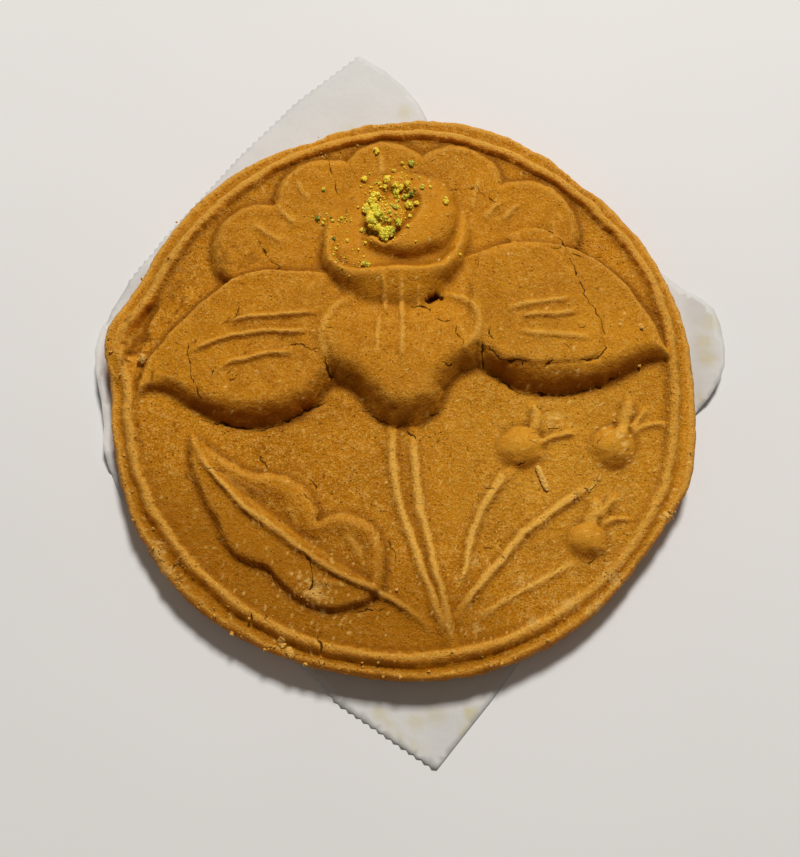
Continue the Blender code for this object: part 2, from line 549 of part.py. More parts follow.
def turned_inwards(outline):
    """Plus one where a left-hand offset of the outline points inwards, otherwise minus one."""
    x, y = np.array(outline, float).T
    area = np.sum(x * np.roll(y, -1) - np.roll(x, -1) * y)
    return 1.0 if area > 0 else -1.0


def surface_points():
    """Points of the moulded face: its edge first, then its lines, then its plain areas."""
    edge = edge_loop(EDGE_RADIUS, EDGE_BULGES, 0.0, EDGE_STEPS)
    groups = []
    ring = edge_loop(RING_RADIUS, RING_BULGES, 0.0, EDGE_STEPS)
    for share in FLANGE_SHARES:
        groups.append(ring + (edge - ring) * share)
    for offset in RING_OFFSETS:
        groups.append(edge_loop(RING_RADIUS, RING_BULGES, offset, EDGE_STEPS))
    for centre_x, centre_y, size, _ in FRUITS + ((BUD[0], BUD[1], BUD[2], 0.0),):
        for share, count in FRUIT_ROWS:
            turn = np.arange(count) * 2.0 * math.pi / count
            groups.append(np.stack([centre_x + share * size * np.cos(turn),
                                    centre_y + share * size * np.sin(turn)], axis=1))
    groups += offset_lines(CUP_RIM, True, RIM_OFFSETS)
    for _, half_widths, points in STEMS + SEPALS + VEINS + TRENCHES:
        foot = max(*half_widths, LINE_CLEARANCE + 0.05)
        groups += offset_lines(points, False, (0.0, -foot, foot))
    for outline in (CURL, FRONT_PETAL, LEFT_WING, RIGHT_WING, LEAF, CUP_FOOT, RIGHT_INNER):
        inward = turned_inwards(outline)
        groups += offset_lines(outline, True, [inward * offset for offset in PAD_OFFSETS])
    for outline in (FRONT_PETAL, LEFT_WING, RIGHT_WING):
        groups += offset_lines(outline, True, (ROLL_OFFSET * turned_inwards(outline),))
    for outline in (LEAF_HOLLOW, RIGHT_BACK):
        inward = turned_inwards(outline)
        groups += offset_lines(outline, True, [inward * offset for offset in LAYER_OFFSETS])
    for centre_x, centre_y, size in FAN_LOBES[:-1]:
        for offset in LOBE_OFFSETS:
            turn = np.arange(LOBE_STEPS) * 2.0 * math.pi / LOBE_STEPS
            groups.append(np.stack([centre_x + (size + offset) * np.cos(turn),
                                    centre_y + (size + offset) * np.sin(turn)], axis=1))
    return edge, thinned(edge, groups)


def thinned(edge, groups):
    """Keeps each point that is clear of those kept before it, and inside the outer edge."""
    cell = LINE_CLEARANCE
    kept = list(map(tuple, edge))
    taken = {}
    for px, py in kept:
        taken.setdefault((int(px // cell), int(py // cell)), []).append((px, py))

    def crowded(px, py, clearance):
        reach = int(clearance / cell) + 1
        column, row = int(px // cell), int(py // cell)
        for i in range(column - reach, column + reach + 1):
            for j in range(row - reach, row + reach + 1):
                for qx, qy in taken.get((i, j), ()):
                    if math.hypot(px - qx, py - qy) < clearance:
                        return True
        return False

    open_area = lattice(80.0, OPEN_SPACING)
    passes = [(group, LINE_CLEARANCE) for group in groups] + [(open_area, OPEN_CLEARANCE)]
    for group, clearance in passes:
        angle = np.arctan2(group[:, 1], group[:, 0])
        limit = wavy_radius(EDGE_RADIUS, EDGE_BULGES, angle) - 0.25
        for (px, py), within in zip(group, np.hypot(group[:, 0], group[:, 1]) < limit):
            if within and not crowded(px, py, clearance):
                kept.append((px, py))
                taken.setdefault((int(px // cell), int(py // cell)), []).append((px, py))
    return np.array(kept)


def material(name, colour, roughness):
    """A plain surface with the part's own colour."""
    made = bpy.data.materials.new(name)
    made.use_nodes = True
    shader = made.node_tree.nodes["Principled BSDF"]
    shader.inputs["Base Color"].default_value = (*colour, 1.0)
    shader.inputs["Roughness"].default_value = roughness
    return made


def add_object(name, bm, finish):
    """Turns a bmesh in millimetres about the ring into a named object in metres."""
    base = FIELD_THICKNESS + PAPER_THICKNESS + REST_GAP
    bm.transform(Matrix.Scale(MM, 4) @ Matrix.Translation((*RING_CENTRE, base)))
    mesh = bpy.data.meshes.new(name)
    bm.to_mesh(mesh)
    bm.free()
    mesh.shade_smooth()
    mesh.set_sharp_from_angle(angle=SHARP_EDGE)
    mesh.materials.append(finish)
    made = bpy.data.objects.new(name, mesh)
    bpy.context.scene.collection.objects.link(made)
    return made


def sweet_body():
    """The pressed round: moulded face, rounded side and flat base, as one closed mesh."""
    edge, points = surface_points()
    count = len(edge)
    border = [(i, (i + 1) % count) for i in range(count)]
    flat = delaunay_2d_cdt([Vector(p) for p in points], border, [], 1, 1e-5)
    xy = np.array([tuple(v) for v in flat[0]])
    height = relief_height(xy[:, 0], xy[:, 1])
    bm = bmesh.new()
    face_verts = [bm.verts.new((x, y, z)) for (x, y), z in zip(xy, height)]
    for face in flat[2]:
        bm.faces.new([face_verts[i] for i in face])
    ring_of = {}
    for new, olds in enumerate(flat[3]):
        for old in olds:
            if old < count:
                ring_of[old] = face_verts[new]
    upper = [ring_of[i] for i in range(count)]
    for offset, level in SIDE_ROWS:
        loop = edge_loop(EDGE_RADIUS, EDGE_BULGES, offset, count)
        lower = [bm.verts.new((x, y, level)) for x, y in loop]
        for i in range(count):
            j = (i + 1) % count
            bm.faces.new([upper[j], upper[i], lower[i], lower[j]])
        upper = lower
    bm.faces.new(list(reversed(upper)))
    bmesh.ops.recalc_face_normals(bm, faces=bm.faces[:])
    return bm


def crumb(x, y, radius, random):
    """A small uneven lump, part sunk in the face below it."""
    bm = bmesh.new()
    bmesh.ops.create_icosphere(bm, subdivisions=1, radius=radius)
    for vertex in bm.verts:
        vertex.co *= random.uniform(*CRUMB_UNEVENNESS)
    level = float(relief_height(np.array([x]), np.array([y]))[0])
    bm.transform(Matrix.Translation((x, y, level + radius * (1.0 - 2.0 * CRUMB_SINK))))
    return bm


def shred(start, end, width, tall):
    """A short flattened stick lying on the face."""
    (ax, ay), (bx, by) = start, end
    length = math.hypot(bx - ax, by - ay)
    bm = bmesh.new()
    bmesh.ops.create_cube(bm, size=1.0)
    bmesh.ops.scale(bm, vec=(length, width, tall), verts=bm.verts)
    bmesh.ops.bevel(bm, geom=bm.edges[:], offset=SHRED_BEVEL * tall, segments=1, affect="EDGES")
    middle = ((ax + bx) / 2, (ay + by) / 2)
    level = float(relief_height(np.array([middle[0]]), np.array([middle[1]]))[0])
    turn = Matrix.Rotation(math.atan2(by - ay, bx - ax), 4, "Z")
    bm.transform(Matrix.Translation((*middle, level + SHRED_SINK * tall)) @ turn)
    return bm


def fuse(body, pieces):
    """Joins the small pieces to the body with one union, then removes them."""
    loose = bpy.data.collections.new("toppings")
    bpy.context.scene.collection.children.link(loose)
    for piece in pieces:
        bpy.context.scene.collection.objects.unlink(piece)
        loose.objects.link(piece)
    union = body.modifiers.new("fused toppings", "BOOLEAN")
    union.operation = "UNION"
    union.operand_type = "COLLECTION"
    union.collection = loose
    union.solver = "EXACT"
    bpy.context.view_layer.objects.active = body
    with bpy.context.temp_override(object=body, active_object=body):
        bpy.ops.object.modifier_apply(modifier=union.name)
    for piece in pieces:
        bpy.data.objects.remove(piece, do_unlink=True)
    bpy.data.collections.remove(loose)


def make_sweet():
    """The sandesh with its crumbs and shreds."""
    finish = material("sandesh", (0.45, 0.18, 0.02), 0.55)
    body = add_object("sandesh", sweet_body(), finish)
    random = np.random.default_rng(7)
    pieces = []
    for number, (x, y, radius) in enumerate(CRUMBS):
        pieces.append(add_object(f"crumb_{number}", crumb(x, y, radius, random), finish))
    pieces.append(add_object("lump", crumb(*LOOSE_LUMP, random), finish))
    for number, (start, end, width, tall) in enumerate(SHREDS):
        pieces.append(add_object(f"shred_{number}", shred(start, end, width, tall), finish))
    fuse(body, pieces)
    return body


def past_fold(fold, x, y):
    """How far points lie past a fold line, on its left-hand side."""
    (ax, ay), (bx, by) = fold
    return ((bx - ax) * (y - ay) - (by - ay) * (x - ax)) / math.hypot(bx - ax, by - ay)


def paper_rise(x, y):
    """How far the sheet is bent up at each point: nothing under the sweet, more on its flaps."""
    rise = np.zeros_like(x)
    for fold, tallest, slope in PAPER_FLAPS:
        rise = rise + np.clip(slope * past_fold(fold, x, y), 0.0, tallest)
    return rise


def paper_outline():
    """The edge of the sheet, with a point where each fold meets it and no side too long."""
    corners = np.array(PAPER_EDGE)
    dots = []
    for start, end in zip(corners, np.roll(corners, -1, axis=0)):
        shares = set(np.arange(0.0, 1.0, 1.0 / max(1, round(math.dist(start, end) / EDGE_PITCH))))
        for fold, _, _ in PAPER_FLAPS:
            before, after = past_fold(fold, *start), past_fold(fold, *end)
            if before * after < 0:
                shares.add(before / (before - after))
        dots += [start + (end - start) * share for share in sorted(shares)]
    return np.array(dots)


def make_paper():
    """The thin sheet under the sweet, closed round its edge."""
    outline = paper_outline()
    count = len(outline)
    fill = lattice(104.0, PAPER_SPACING)
    for fold, _, _ in PAPER_FLAPS:
        fill = fill[np.abs(past_fold(fold, fill[:, 0], fill[:, 1])) > 0.4 * PAPER_SPACING]
    for (start, end), _, _ in PAPER_FLAPS:
        share = np.arange(-1.0, 2.0, FOLD_SPACING / math.dist(start, end))[:, None]
        fill = np.vstack([fill, np.array(start) * (1.0 - share) + np.array(end) * share])
    gap, _, _ = nearest(outline, fill[:, 0], fill[:, 1], closed=True)
    fill = fill[inside(outline, fill[:, 0], fill[:, 1]) & (gap > EDGE_CLEARANCE)]
    border = [(i, (i + 1) % count) for i in range(count)]
    points = [Vector(p) for p in np.vstack([outline, fill])]
    flat = delaunay_2d_cdt(points, border, [], 1, 1e-5)
    xy = np.array([tuple(v) for v in flat[0]])
    level = paper_rise(xy[:, 0], xy[:, 1]) - FIELD_THICKNESS - REST_GAP
    bm = bmesh.new()
    top = [bm.verts.new((x, y, z)) for (x, y), z in zip(xy, level)]
    under = [bm.verts.new((x, y, z - PAPER_THICKNESS)) for (x, y), z in zip(xy, level)]
    for face in flat[2]:
        bm.faces.new([top[i] for i in face])
        bm.faces.new([under[i] for i in reversed(face)])
    rim = {old: new for new, olds in enumerate(flat[3]) for old in olds if old < count}
    for i in range(count):
        a, b = rim[i], rim[(i + 1) % count]
        bm.faces.new([top[b], top[a], under[a], under[b]])
    bmesh.ops.recalc_face_normals(bm, faces=bm.faces[:])
    return add_object("paper", bm, material("greaseproof paper", (0.72, 0.70, 0.66), 0.45))


for old in list(bpy.data.objects):
    bpy.data.objects.remove(old, do_unlink=True)
make_sweet()
make_paper()
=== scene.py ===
"""Dresses the packed sandesh: a round of sweet pressed in a carved mould, the chopped pistachio
strewn on it, and the loose sheet of greaseproof paper that it lies on.

Lengths in the tables are millimetres, measured from the middle of the raised ring and up from the
flat field that the relief stands on.  They become metres where a mesh is made.
"""
import math

import bmesh
import bpy
import numpy as np
from mathutils import Euler, Matrix, Vector
from mathutils.geometry import delaunay_2d_cdt


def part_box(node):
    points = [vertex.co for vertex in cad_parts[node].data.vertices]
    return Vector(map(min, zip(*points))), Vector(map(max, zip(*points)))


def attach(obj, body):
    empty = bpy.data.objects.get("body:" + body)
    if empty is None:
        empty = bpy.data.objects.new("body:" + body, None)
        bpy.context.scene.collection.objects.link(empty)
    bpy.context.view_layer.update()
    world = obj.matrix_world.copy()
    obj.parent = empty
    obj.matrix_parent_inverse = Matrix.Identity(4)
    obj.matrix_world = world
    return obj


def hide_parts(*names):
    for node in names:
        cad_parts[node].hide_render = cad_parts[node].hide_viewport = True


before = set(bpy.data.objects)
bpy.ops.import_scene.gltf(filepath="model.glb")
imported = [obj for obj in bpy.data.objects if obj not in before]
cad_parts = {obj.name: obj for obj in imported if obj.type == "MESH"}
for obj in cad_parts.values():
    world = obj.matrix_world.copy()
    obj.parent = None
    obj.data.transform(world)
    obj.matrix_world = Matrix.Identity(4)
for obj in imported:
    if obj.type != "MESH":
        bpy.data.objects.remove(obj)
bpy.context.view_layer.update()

# The sheet of greaseproof paper.  It is cut from a roll, so two of its edges have the teeth of the
# cutter, and it is thinner than a fingernail.  Its left and right corners are bent up beside the
# sweet, which holds the rest flat.
MM = 0.001
FIELD_THICKNESS = 9.0
RING_CENTRE = (-1.7, -2.75)
base_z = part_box("sandesh")[0].z / MM
field_z = base_z + FIELD_THICKNESS

PAPER_EDGE = (
    (-12.9, 102.9), (-31, 87.2), (-46.7, 69.6), (-61.5, 50.5), (-75.8, 30.3), (-79.8, 23), (-81.6, 16.6),
    (-82.2, 9.4), (-81.5, 3), (-79.9, -4), (-78.9, -10.6), (-78.6, -16.4), (-77.2, -21.8), (-73.9, -29.5),
    (-66, -38.5), (-21, -76.6), (-16.4, -81.6), (7.8, -97.4), (21.6, -80.8), (28.4, -72.1), (78.2, -5.6),
    (80.9, -2.6), (83.6, 1.7), (85.2, 5.8), (85.6, 11), (85, 17.7), (83.7, 22), (80.6, 25.6),
    (71.2, 33.8), (7.4, 80.2), (4.2, 87.2), (-0.1, 92.7), (-5.6, 98),
)

# The stretches of the edge, by the number of the corner they start from, that the cutter left toothed
TOOTHED_STRETCHES = (0, 1, 2, 3, 14, 15, 16)
TOOTH_PITCH = 2.3
TOOTH_DEPTH = 0.55
PAPER_GRID = 1.5
PAPER_SPAN = (-100.0, 102.0)
CLEAR_OF_EDGE = 0.6
PAPER_THICKNESS = 0.12
PAPER_ON_TABLE = 0.05

# The two flaps: both ends of the fold, how high the corner stands, and how steeply it leaves the table
PAPER_FLAPS = ((((-77, -20), (-80.3, 14)), 6, 3), (((76.2, 40), (76.2, -10)), 4.6, 0.5))
FLAP_UNEVENNESS = 0.04

# Beyond the sweet the sheet lies free: from how far out, and over how wide a margin; then the height
# and size of its crinkles, and a patch at the left that lies higher: its middle, its reach, its height
# and how uneven it is
SHEET_FREE = (74.0, 6.0)
CRINKLE = 0.12
CRINKLE_SIZE = 9.0
LIFTED_PATCH = (-70.0, 42.0, 14.0, 1.1, 0.5)

# Colours of the paper: its two cloudy whites, its fibres, and grease
PAPER_WHITES = ((0.58, 0.575, 0.555), (0.64, 0.635, 0.615))
PAPER_FIBRE = (0.52, 0.50, 0.45)
GREASE_STAIN = (0.52, 0.44, 0.16)

# Where grease and syrup have stained the sheet: x, y, reach and strength
PAPER_STAINS = (
    (-6.4, -84.2, 1.6, 0.4), (-3.5, -86.5, 1.5, 0.35), (-1.2, -89.5, 1.4, 0.35), (2.4, -91.8, 1.2, 0.3),
    (2.6, -86, 2.2, 0.35), (7.5, -84.6, 2.4, 0.3), (16, -84, 1.3, 0.65), (15.2, -88, 1.6, 0.3),
    (24.6, -83.6, 1, 0.85), (30, -82.6, 1.6, 0.35), (80.8, 13, 2.2, 0.45), (81.4, 8, 1.8, 0.5),
    (82.6, 18, 2.6, 0.3), (78.4, -2.6, 1.6, 0.3), (-16, 78, 3, 0.25), (0, 84, 2, 0.35),
)


def lumpy(x, y, size, seed):
    """Smooth random swells about one size apart, between minus one and one."""
    table = np.random.default_rng(seed).uniform(-1.0, 1.0, (64, 64))
    across, up = x / size + 640.0, y / size + 640.0
    column, row = np.floor(across).astype(int), np.floor(up).astype(int)
    s, t = across - column, up - row
    s, t = s * s * (3.0 - 2.0 * s), t * t * (3.0 - 2.0 * t)
    left = table[column % 64, row % 64] * (1 - t) + table[column % 64, (row + 1) % 64] * t
    right = table[(column + 1) % 64, row % 64] * (1 - t) + table[(column + 1) % 64, (row + 1) % 64] * t
    return left * (1 - s) + right * s


def ramp(value, start, width, most=1.0):
    """Nought up to the start, then rising evenly by one over the width, and no more than the most."""
    return np.clip((value - start) / width, 0.0, most)


def marked(x, y, marks, unevenness):
    """How strong soft-edged marks are at each point, each given by its x, y, reach and strength."""
    strength = np.zeros(x.shape)
    for mark_x, mark_y, reach, most in marks:
        spread = np.hypot(x - mark_x, y - mark_y) * unevenness
        strength = np.maximum(strength, most * np.exp(-((spread / reach) ** 4)))
    return strength


def inside(loop, x, y):
    """True where a point lies inside a closed loop of dots."""
    odd = np.zeros(x.shape, bool)
    for (ax, ay), (bx, by) in zip(loop, np.roll(loop, -1, axis=0)):
        if ay == by:
            continue
        crosses = (ay > y) != (by > y)
        odd ^= crosses & (x < (bx - ax) * (y - ay) / (by - ay) + ax)
    return odd


def paper_loop():
    """The cut edge of the sheet, with the cutter's teeth where it has them."""
    corners = np.array(PAPER_EDGE)
    dots = []
    for number, (start, end) in enumerate(zip(corners, np.roll(corners, -1, axis=0))):
        run = end - start
        length = math.hypot(*run)
        outward = np.array((-run[1], run[0])) / length
        toothed = number in TOOTHED_STRETCHES
        pieces = 2 * max(1, round(length / TOOTH_PITCH)) if toothed else max(1, round(length / PAPER_GRID))
        for step in range(pieces):
            notch = -TOOTH_DEPTH * (step % 2) if toothed else 0.0
            dots.append(start + run * step / pieces + outward * notch)
    return np.array(dots)


def paper_rise(x, y):
    """How far the sheet stands off the table: crinkles where it lies free, and its bent-up flaps."""
    free = ramp(np.hypot(x, y), *SHEET_FREE)
    rise = free * CRINKLE * (1.0 + lumpy(x, y, CRINKLE_SIZE, 3))
    patch_x, patch_y, reach, height, uneven = LIFTED_PATCH
    lifted = np.exp(-((np.hypot(x - patch_x, y - patch_y) / reach) ** 2))
    rise = rise + free * lifted * (height + uneven * lumpy(x, y, 5.0, 4))
    for ((ax, ay), (bx, by)), tallest, slope in PAPER_FLAPS:
        beyond = ((bx - ax) * (y - ay) - (by - ay) * (x - ax)) / math.hypot(bx - ax, by - ay)
        bent = tallest * np.tanh(slope * np.maximum(beyond, 0.0) / tallest)
        rise = rise + bent * (1.0 + FLAP_UNEVENNESS * lumpy(x, y, CRINKLE_SIZE, 5))
    return rise


def into_scene(name, data):
    """An object in the scene from its mesh, light or lens."""
    made = bpy.data.objects.new(name, data)
    bpy.context.scene.collection.objects.link(made)
    return made


def smooth_piece(mesh, finish):
    """A smooth-shaded object with one finish, named as its mesh."""
    mesh.materials.append(finish)
    mesh.shade_smooth()
    return into_scene(mesh.name, mesh)


def placed_mesh(name, verts, faces, finish):
    """A piece from points in millimetres about the ring's middle."""
    mesh = bpy.data.meshes.new(name)
    points = (np.asarray(verts, float) + (*RING_CENTRE, field_z)) * MM
    mesh.from_pydata(points.tolist(), [], faces)
    return smooth_piece(mesh, finish)


def set_mask(piece, name, values):
    """Gives each point of a piece's mesh a value for its material to read."""
    mask = piece.data.attributes.new(name, "FLOAT", "POINT")
    mask.data.foreach_set("value", np.asarray(values, np.float32))


def make_paper():
    """The thin sheet, top face and underside, closed round its cut edge."""
    loop = paper_loop()
    count = len(loop)
    ticks = np.arange(*PAPER_SPAN, PAPER_GRID)
    grid_x, grid_y = (axis.ravel() for axis in np.meshgrid(ticks, ticks))
    clear = np.min([np.hypot(grid_x - x, grid_y - y) for x, y in loop], axis=0)
    within = inside(loop, grid_x, grid_y) & (clear > CLEAR_OF_EDGE * PAPER_GRID)
    fill = np.column_stack([grid_x, grid_y])[within]
    border = [(i, (i + 1) % count) for i in range(count)]
    flat = delaunay_2d_cdt([Vector(p) for p in np.vstack([loop, fill])], border, [], 1, 1e-5)
    xy = np.array([tuple(v) for v in flat[0]])
    under = PAPER_ON_TABLE - field_z + paper_rise(*xy.T)
    total = len(xy)
    verts = np.vstack([np.column_stack([xy, under + PAPER_THICKNESS]), np.column_stack([xy, under])])
    faces = [tuple(face) for face in flat[2]]
    faces += [tuple(total + i for i in reversed(face)) for face in flat[2]]
    rim = {old: new for new, olds in enumerate(flat[3]) for old in olds if old < count}
    for start, end in border:
        a, b = rim[start], rim[end]
        faces.append((b, a, total + a, total + b))
    sheet = placed_mesh("greaseproof_sheet", verts, faces, paper_finish())
    stain = marked(*xy.T, PAPER_STAINS, 1.0 + 0.35 * lumpy(*xy.T, 2.5, 8))
    set_mask(sheet, "stain", np.concatenate([stain, stain]))
    return sheet


def add(tree, kind, **settings):
    """A shader node with some of its settings."""
    node = tree.nodes.new("ShaderNode" + kind)
    for name, value in settings.items():
        setattr(node, name, value)
    return node


def feed(tree, node, values):
    """Gives a node's inputs their sockets or fixed values, by name or number."""
    for key, value in values.items():
        if isinstance(value, bpy.types.NodeSocket):
            tree.links.new(value, node.inputs[key])
        else:
            node.inputs[key].default_value = value


def noise(tree, place, scale, detail, roughness=0.55):
    """A noise value between nought and one that varies over the surface."""
    node = add(tree, "TexNoise")
    feed(tree, node, {"Vector": place, "Scale": scale, "Detail": detail, "Roughness": roughness})
    return node.outputs["Fac"]


def between(tree, value, low, high, to_low=0.0, to_high=1.0):
    """A value stretched from one range to another and held within it."""
    node = add(tree, "MapRange")
    feed(tree, node, {"Value": value, "From Min": low, "From Max": high, "To Min": to_low, "To Max": to_high})
    return node.outputs["Result"]


def blend_colours(tree, share, first, second):
    """Mixes two colours, each a socket or a fixed colour, by a socket or a fixed share."""
    node = add(tree, "Mix", data_type="RGBA")
    first, second = ((*c, 1.0) if isinstance(c, tuple) else c for c in (first, second))
    feed(tree, node, {0: share, 6: first, 7: second})
    return node.outputs[2]


def tint(tree, colour, value, low, high, share, shade):
    """The colour with a shade mixed in as a value goes from low to high, up to a share of it."""
    return blend_colours(tree, between(tree, value, low, high, 0.0, share), colour, shade)


def new_finish(name):
    """An empty material with its shader and the place on the object that its textures follow."""
    made = bpy.data.materials.new(name)
    made.use_nodes = True
    tree = made.node_tree
    place = add(tree, "TexCoord").outputs["Object"]
    return made, tree, tree.nodes["Principled BSDF"], place


def surface_mask(tree, name):
    """A value that the mesh carries at its points."""
    return add(tree, "Attribute", attribute_type="GEOMETRY", attribute_name=name).outputs["Fac"]


def raise_by(tree, shader, height, distance, strength):
    """Lets a height value tilt the shading of the surface."""
    bump = add(tree, "Bump")
    feed(tree, bump, {"Distance": distance, "Strength": strength, "Height": height})
    feed(tree, shader, {"Normal": bump.outputs["Normal"]})


def paper_finish():
    """Off-white paper with cloudy patches, fine fibres, creases and grease stains."""
    made, tree, shader, place = new_finish("greaseproof paper")
    cloud = between(tree, noise(tree, place, 55.0, 4.0), 0.35, 0.65)
    colour = blend_colours(tree, cloud, *PAPER_WHITES)
    colour = tint(tree, colour, noise(tree, place, 900.0, 2.0), 0.3, 0.7, 0.12, PAPER_FIBRE)
    colour = tint(tree, colour, surface_mask(tree, "stain"), 0.0, 1.0, 1.0, GREASE_STAIN)
    feed(tree, shader, {"Base Color": colour, "Roughness": between(tree, cloud, 0.0, 1.0, 0.55, 0.7),
                        "Specular IOR Level": 0.25})
    raise_by(tree, shader, noise(tree, place, 160.0, 5.0), 0.0004, 0.5)
    return made


paper = make_paper()
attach(paper, "root")
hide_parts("paper")


# The pressed round.  Fresh cheese kneaded with palm sugar is pressed into a carved wooden mould and
# turned out, so its face has the flower in relief inside a raised ring, and its side is only as
# round as the hand left it.  It is soft, dense and fine-grained, and it cracks as it dries.
RING_RADIUS = 71.3
EDGE_RADIUS = 75.6
EDGE_DROP = 1.7

# How far the ring and the outer edge wander from a true circle: angle, size, spread
RING_BULGES = (
    (45, -0.6, 14), (86, 0.4, 12), (130, -0.7, 22), (172, 4.2, 4.5), (208, 0.9, 20), (275, 0.5, 20),
    (325, 0.9, 14), (354, -1.5, 12),
)
EDGE_BULGES = (
    (52, -1.2, 4), (76, 2.1, 12), (111, -1, 4), (138, 0.9, 10), (171, 3.6, 5.5), (222, 3, 20),
    (285, 1.5, 14), (305, 0.6, 8), (340, 2, 7),
)

# The plain field is a little wavy: height of the swells, and their lengths across and up
FIELD_SWELL = 0.18
FIELD_SWELL_LENGTHS = (11.0, 9.0)

# How squarely the face rounds off into the side
EDGE_SQUARENESS = 8.0

# The raised ring: height of its crest, how far it falls away outwards, how far its crest reaches
# inwards, how squarely it drops to the field there, and where it was scraped low
RING_HEIGHT = 1.6
RING_OUTER_WIDTH = 1.9
RING_INNER_WIDTH = 1.6
RING_SQUARENESS = 5.0
RING_SCRAPE = (314, 0.6, 9)

# At the left the ring was pressed out against the edge into one flat band: where, its spread, and
# its height as a share of the ring's
PRESSED_BAND = (172, 5.5, 0.9)

# The field dips beside the ring: how deep, how far inside the ring's foot, and how wide the dip is
MOAT_DEPTH = 0.7
MOAT_PLACE = 0.9
MOAT_WIDTH = 2.2

# The flange outside the ring: depth of the groove beside the ring and its share of the way to the
# edge, then the swell beyond it: its height, its share of the way, and its spread
GROOVE_DEPTH = 1.0
GROOVE_PLACE = 0.44
SWELL_HEIGHT = 0.5
SWELL_PLACE = 0.78
SWELL_SPREAD = 0.15

# Petals of the back fan: centre and radius of each scallop
FAN_LOBES = (
    (-38.5, 36.5, 13.6), (-21, 48.5, 15.3), (-5, 56, 13), (13.5, 53.5, 14.4), (32, 42, 15.4),
    (-3, 30, 33),
)
FAN_HEIGHT = 3.4
FAN_SLOPE = 3.2

# The share of the width of a petal's wall over which it climbs straight, before it rolls over
WALL_SHARE = 0.3

# Each petal and the leaf: its outline, its height or its heights along it, and how wide its back and
# front slopes are
LEFT_WING = (
    (-69.5, -5), (-68, 2), (-64, 9.5), (-59, 15.2), (-53.5, 20.5), (-48, 25.5), (-43, 28.2), (-37, 29.3),
    (-30, 29.5), (-22, 29), (-12, 24), (-10, 12), (-15, 2), (-20, -3.5), (-24.5, -8.8), (-30, -12),
    (-38, -13.6), (-44, -13), (-50, -11), (-56, -7.6), (-61.5, -4.2), (-66, -3.4),
)
LEFT_WING_RISE = ((-70, 1.4), (-64, 2.8), (-57, 4.4), (-48, 5.8), (-36, 6.3), (-26, 5.8), (-17, 4.2))
LEFT_WING_SLOPES = (2.0, 7.0)

RIGHT_WING = (
    (70.2, 5.2), (68, 9.5), (65, 16.5), (61, 23), (57, 28.2), (52.5, 31.8), (47.5, 34.5), (43.4, 36.2),
    (38.4, 37.2), (30.2, 37.6), (24.4, 36.8), (19.3, 34.9), (12, 31.5), (6.5, 26), (9, 10), (21, 1.8),
    (26, -1.5), (32, -4), (38, -4.7), (45, -4.1), (52, -2), (58, 1), (62.5, 3.8), (66.5, 4.6),
)
RIGHT_WING_RISE = ((13, 4.0), (20, 5.0), (28, 6.0), (45, 6.2), (56, 5.6), (64, 4.3), (70, 2.2))
RIGHT_WING_SLOPES = (2.0, 7.0)

# The inner part of the right side petal stands a little proud of its outer border
RIGHT_INNER = (
    (19, 31.6), (24.5, 34.4), (30.5, 35.6), (36, 35.2), (40.5, 32.8), (43, 29.2), (45.8, 25.5),
    (48.5, 20.5), (50.8, 15), (50.6, 9.5), (50.2, 5.4), (47.6, 3.2), (42, 2.6), (35.4, 1.9), (29.3, 2.6),
    (24.6, 3), (21.2, 6.4), (16.6, 13),
)
RIGHT_INNER_STEP = 0.7
RIGHT_INNER_SLOPES = (1.4, 0.7)

# A thin layer of the right petal shows behind it, on the fan
RIGHT_BACK = (
    (27, 38.8), (30.6, 41), (34.3, 41.8), (39, 41.4), (42.2, 38.8), (43.2, 35.6), (38, 33), (30, 34),
)
RIGHT_BACK_HEIGHT = 4.4
RIGHT_BACK_SLOPES = (1.0, 1.2)

FRONT_PETAL = (
    (-16, 20.5), (-20.5, 17.6), (-23.2, 12.5), (-22.8, 5.5), (-20.5, 0.5), (-17.5, -1.8), (-13.5, -3.4),
    (-10.2, -7.6), (-5.5, -12.2), (0, -13.2), (5.2, -12), (9, -8.8), (11, -3.2), (14.5, 0.2), (19, 2.4),
    (21.2, 7), (21.2, 13), (19, 18), (14, 21.6), (8, 24), (0, 25), (-8, 24),
)
FRONT_PETAL_RISE = ((2, 7.2), (8, 6.6), (13, 5.7), (18, 4.4), (25, 3.0))
FRONT_PETAL_SLOPES = (2.2, 7.8)

# The cup: where its wall starts, its rim, and their heights from front to back
CUP_FOOT = (
    (-22, 36), (-21.8, 29.4), (-18.6, 24.4), (-13.8, 21.2), (-8, 18.8), (-2.6, 17.8), (3.6, 17.8),
    (8, 19.8), (11.6, 24.2), (14.6, 28.8), (16.9, 34.6), (17.6, 41), (16, 48), (10.8, 54.4), (2.4, 57.8),
    (-6, 58.2), (-14.8, 54.6), (-20.4, 47.6),
)
CUP_RIM = (
    (-20.4, 36.4), (-19.6, 31), (-16.8, 27.6), (-12.6, 26.4), (-7.4, 26.9), (-2, 27.7), (3.4, 27.6),
    (8.6, 28.5), (12.4, 31), (14.6, 35), (15.5, 40), (14.8, 46.4), (9.8, 51.8), (2.4, 54.8), (-5.8, 55.2),
    (-13.8, 51.8), (-18.8, 45.6),
)
CUP_RIM_RISE = ((28, 8.2), (32, 7.3), (36, 6.1), (40, 5.0), (44, 4.0), (48, 3.2))
CUP_FLOOR_RISE = ((28, 5.2), (36, 4.7), (42, 3.9), (48, 3.2))
CUP_FOOT_HEIGHT = 3.1
CUP_LIP_WIDTH = 2.9
CUP_WALL_BULGE = 0.55

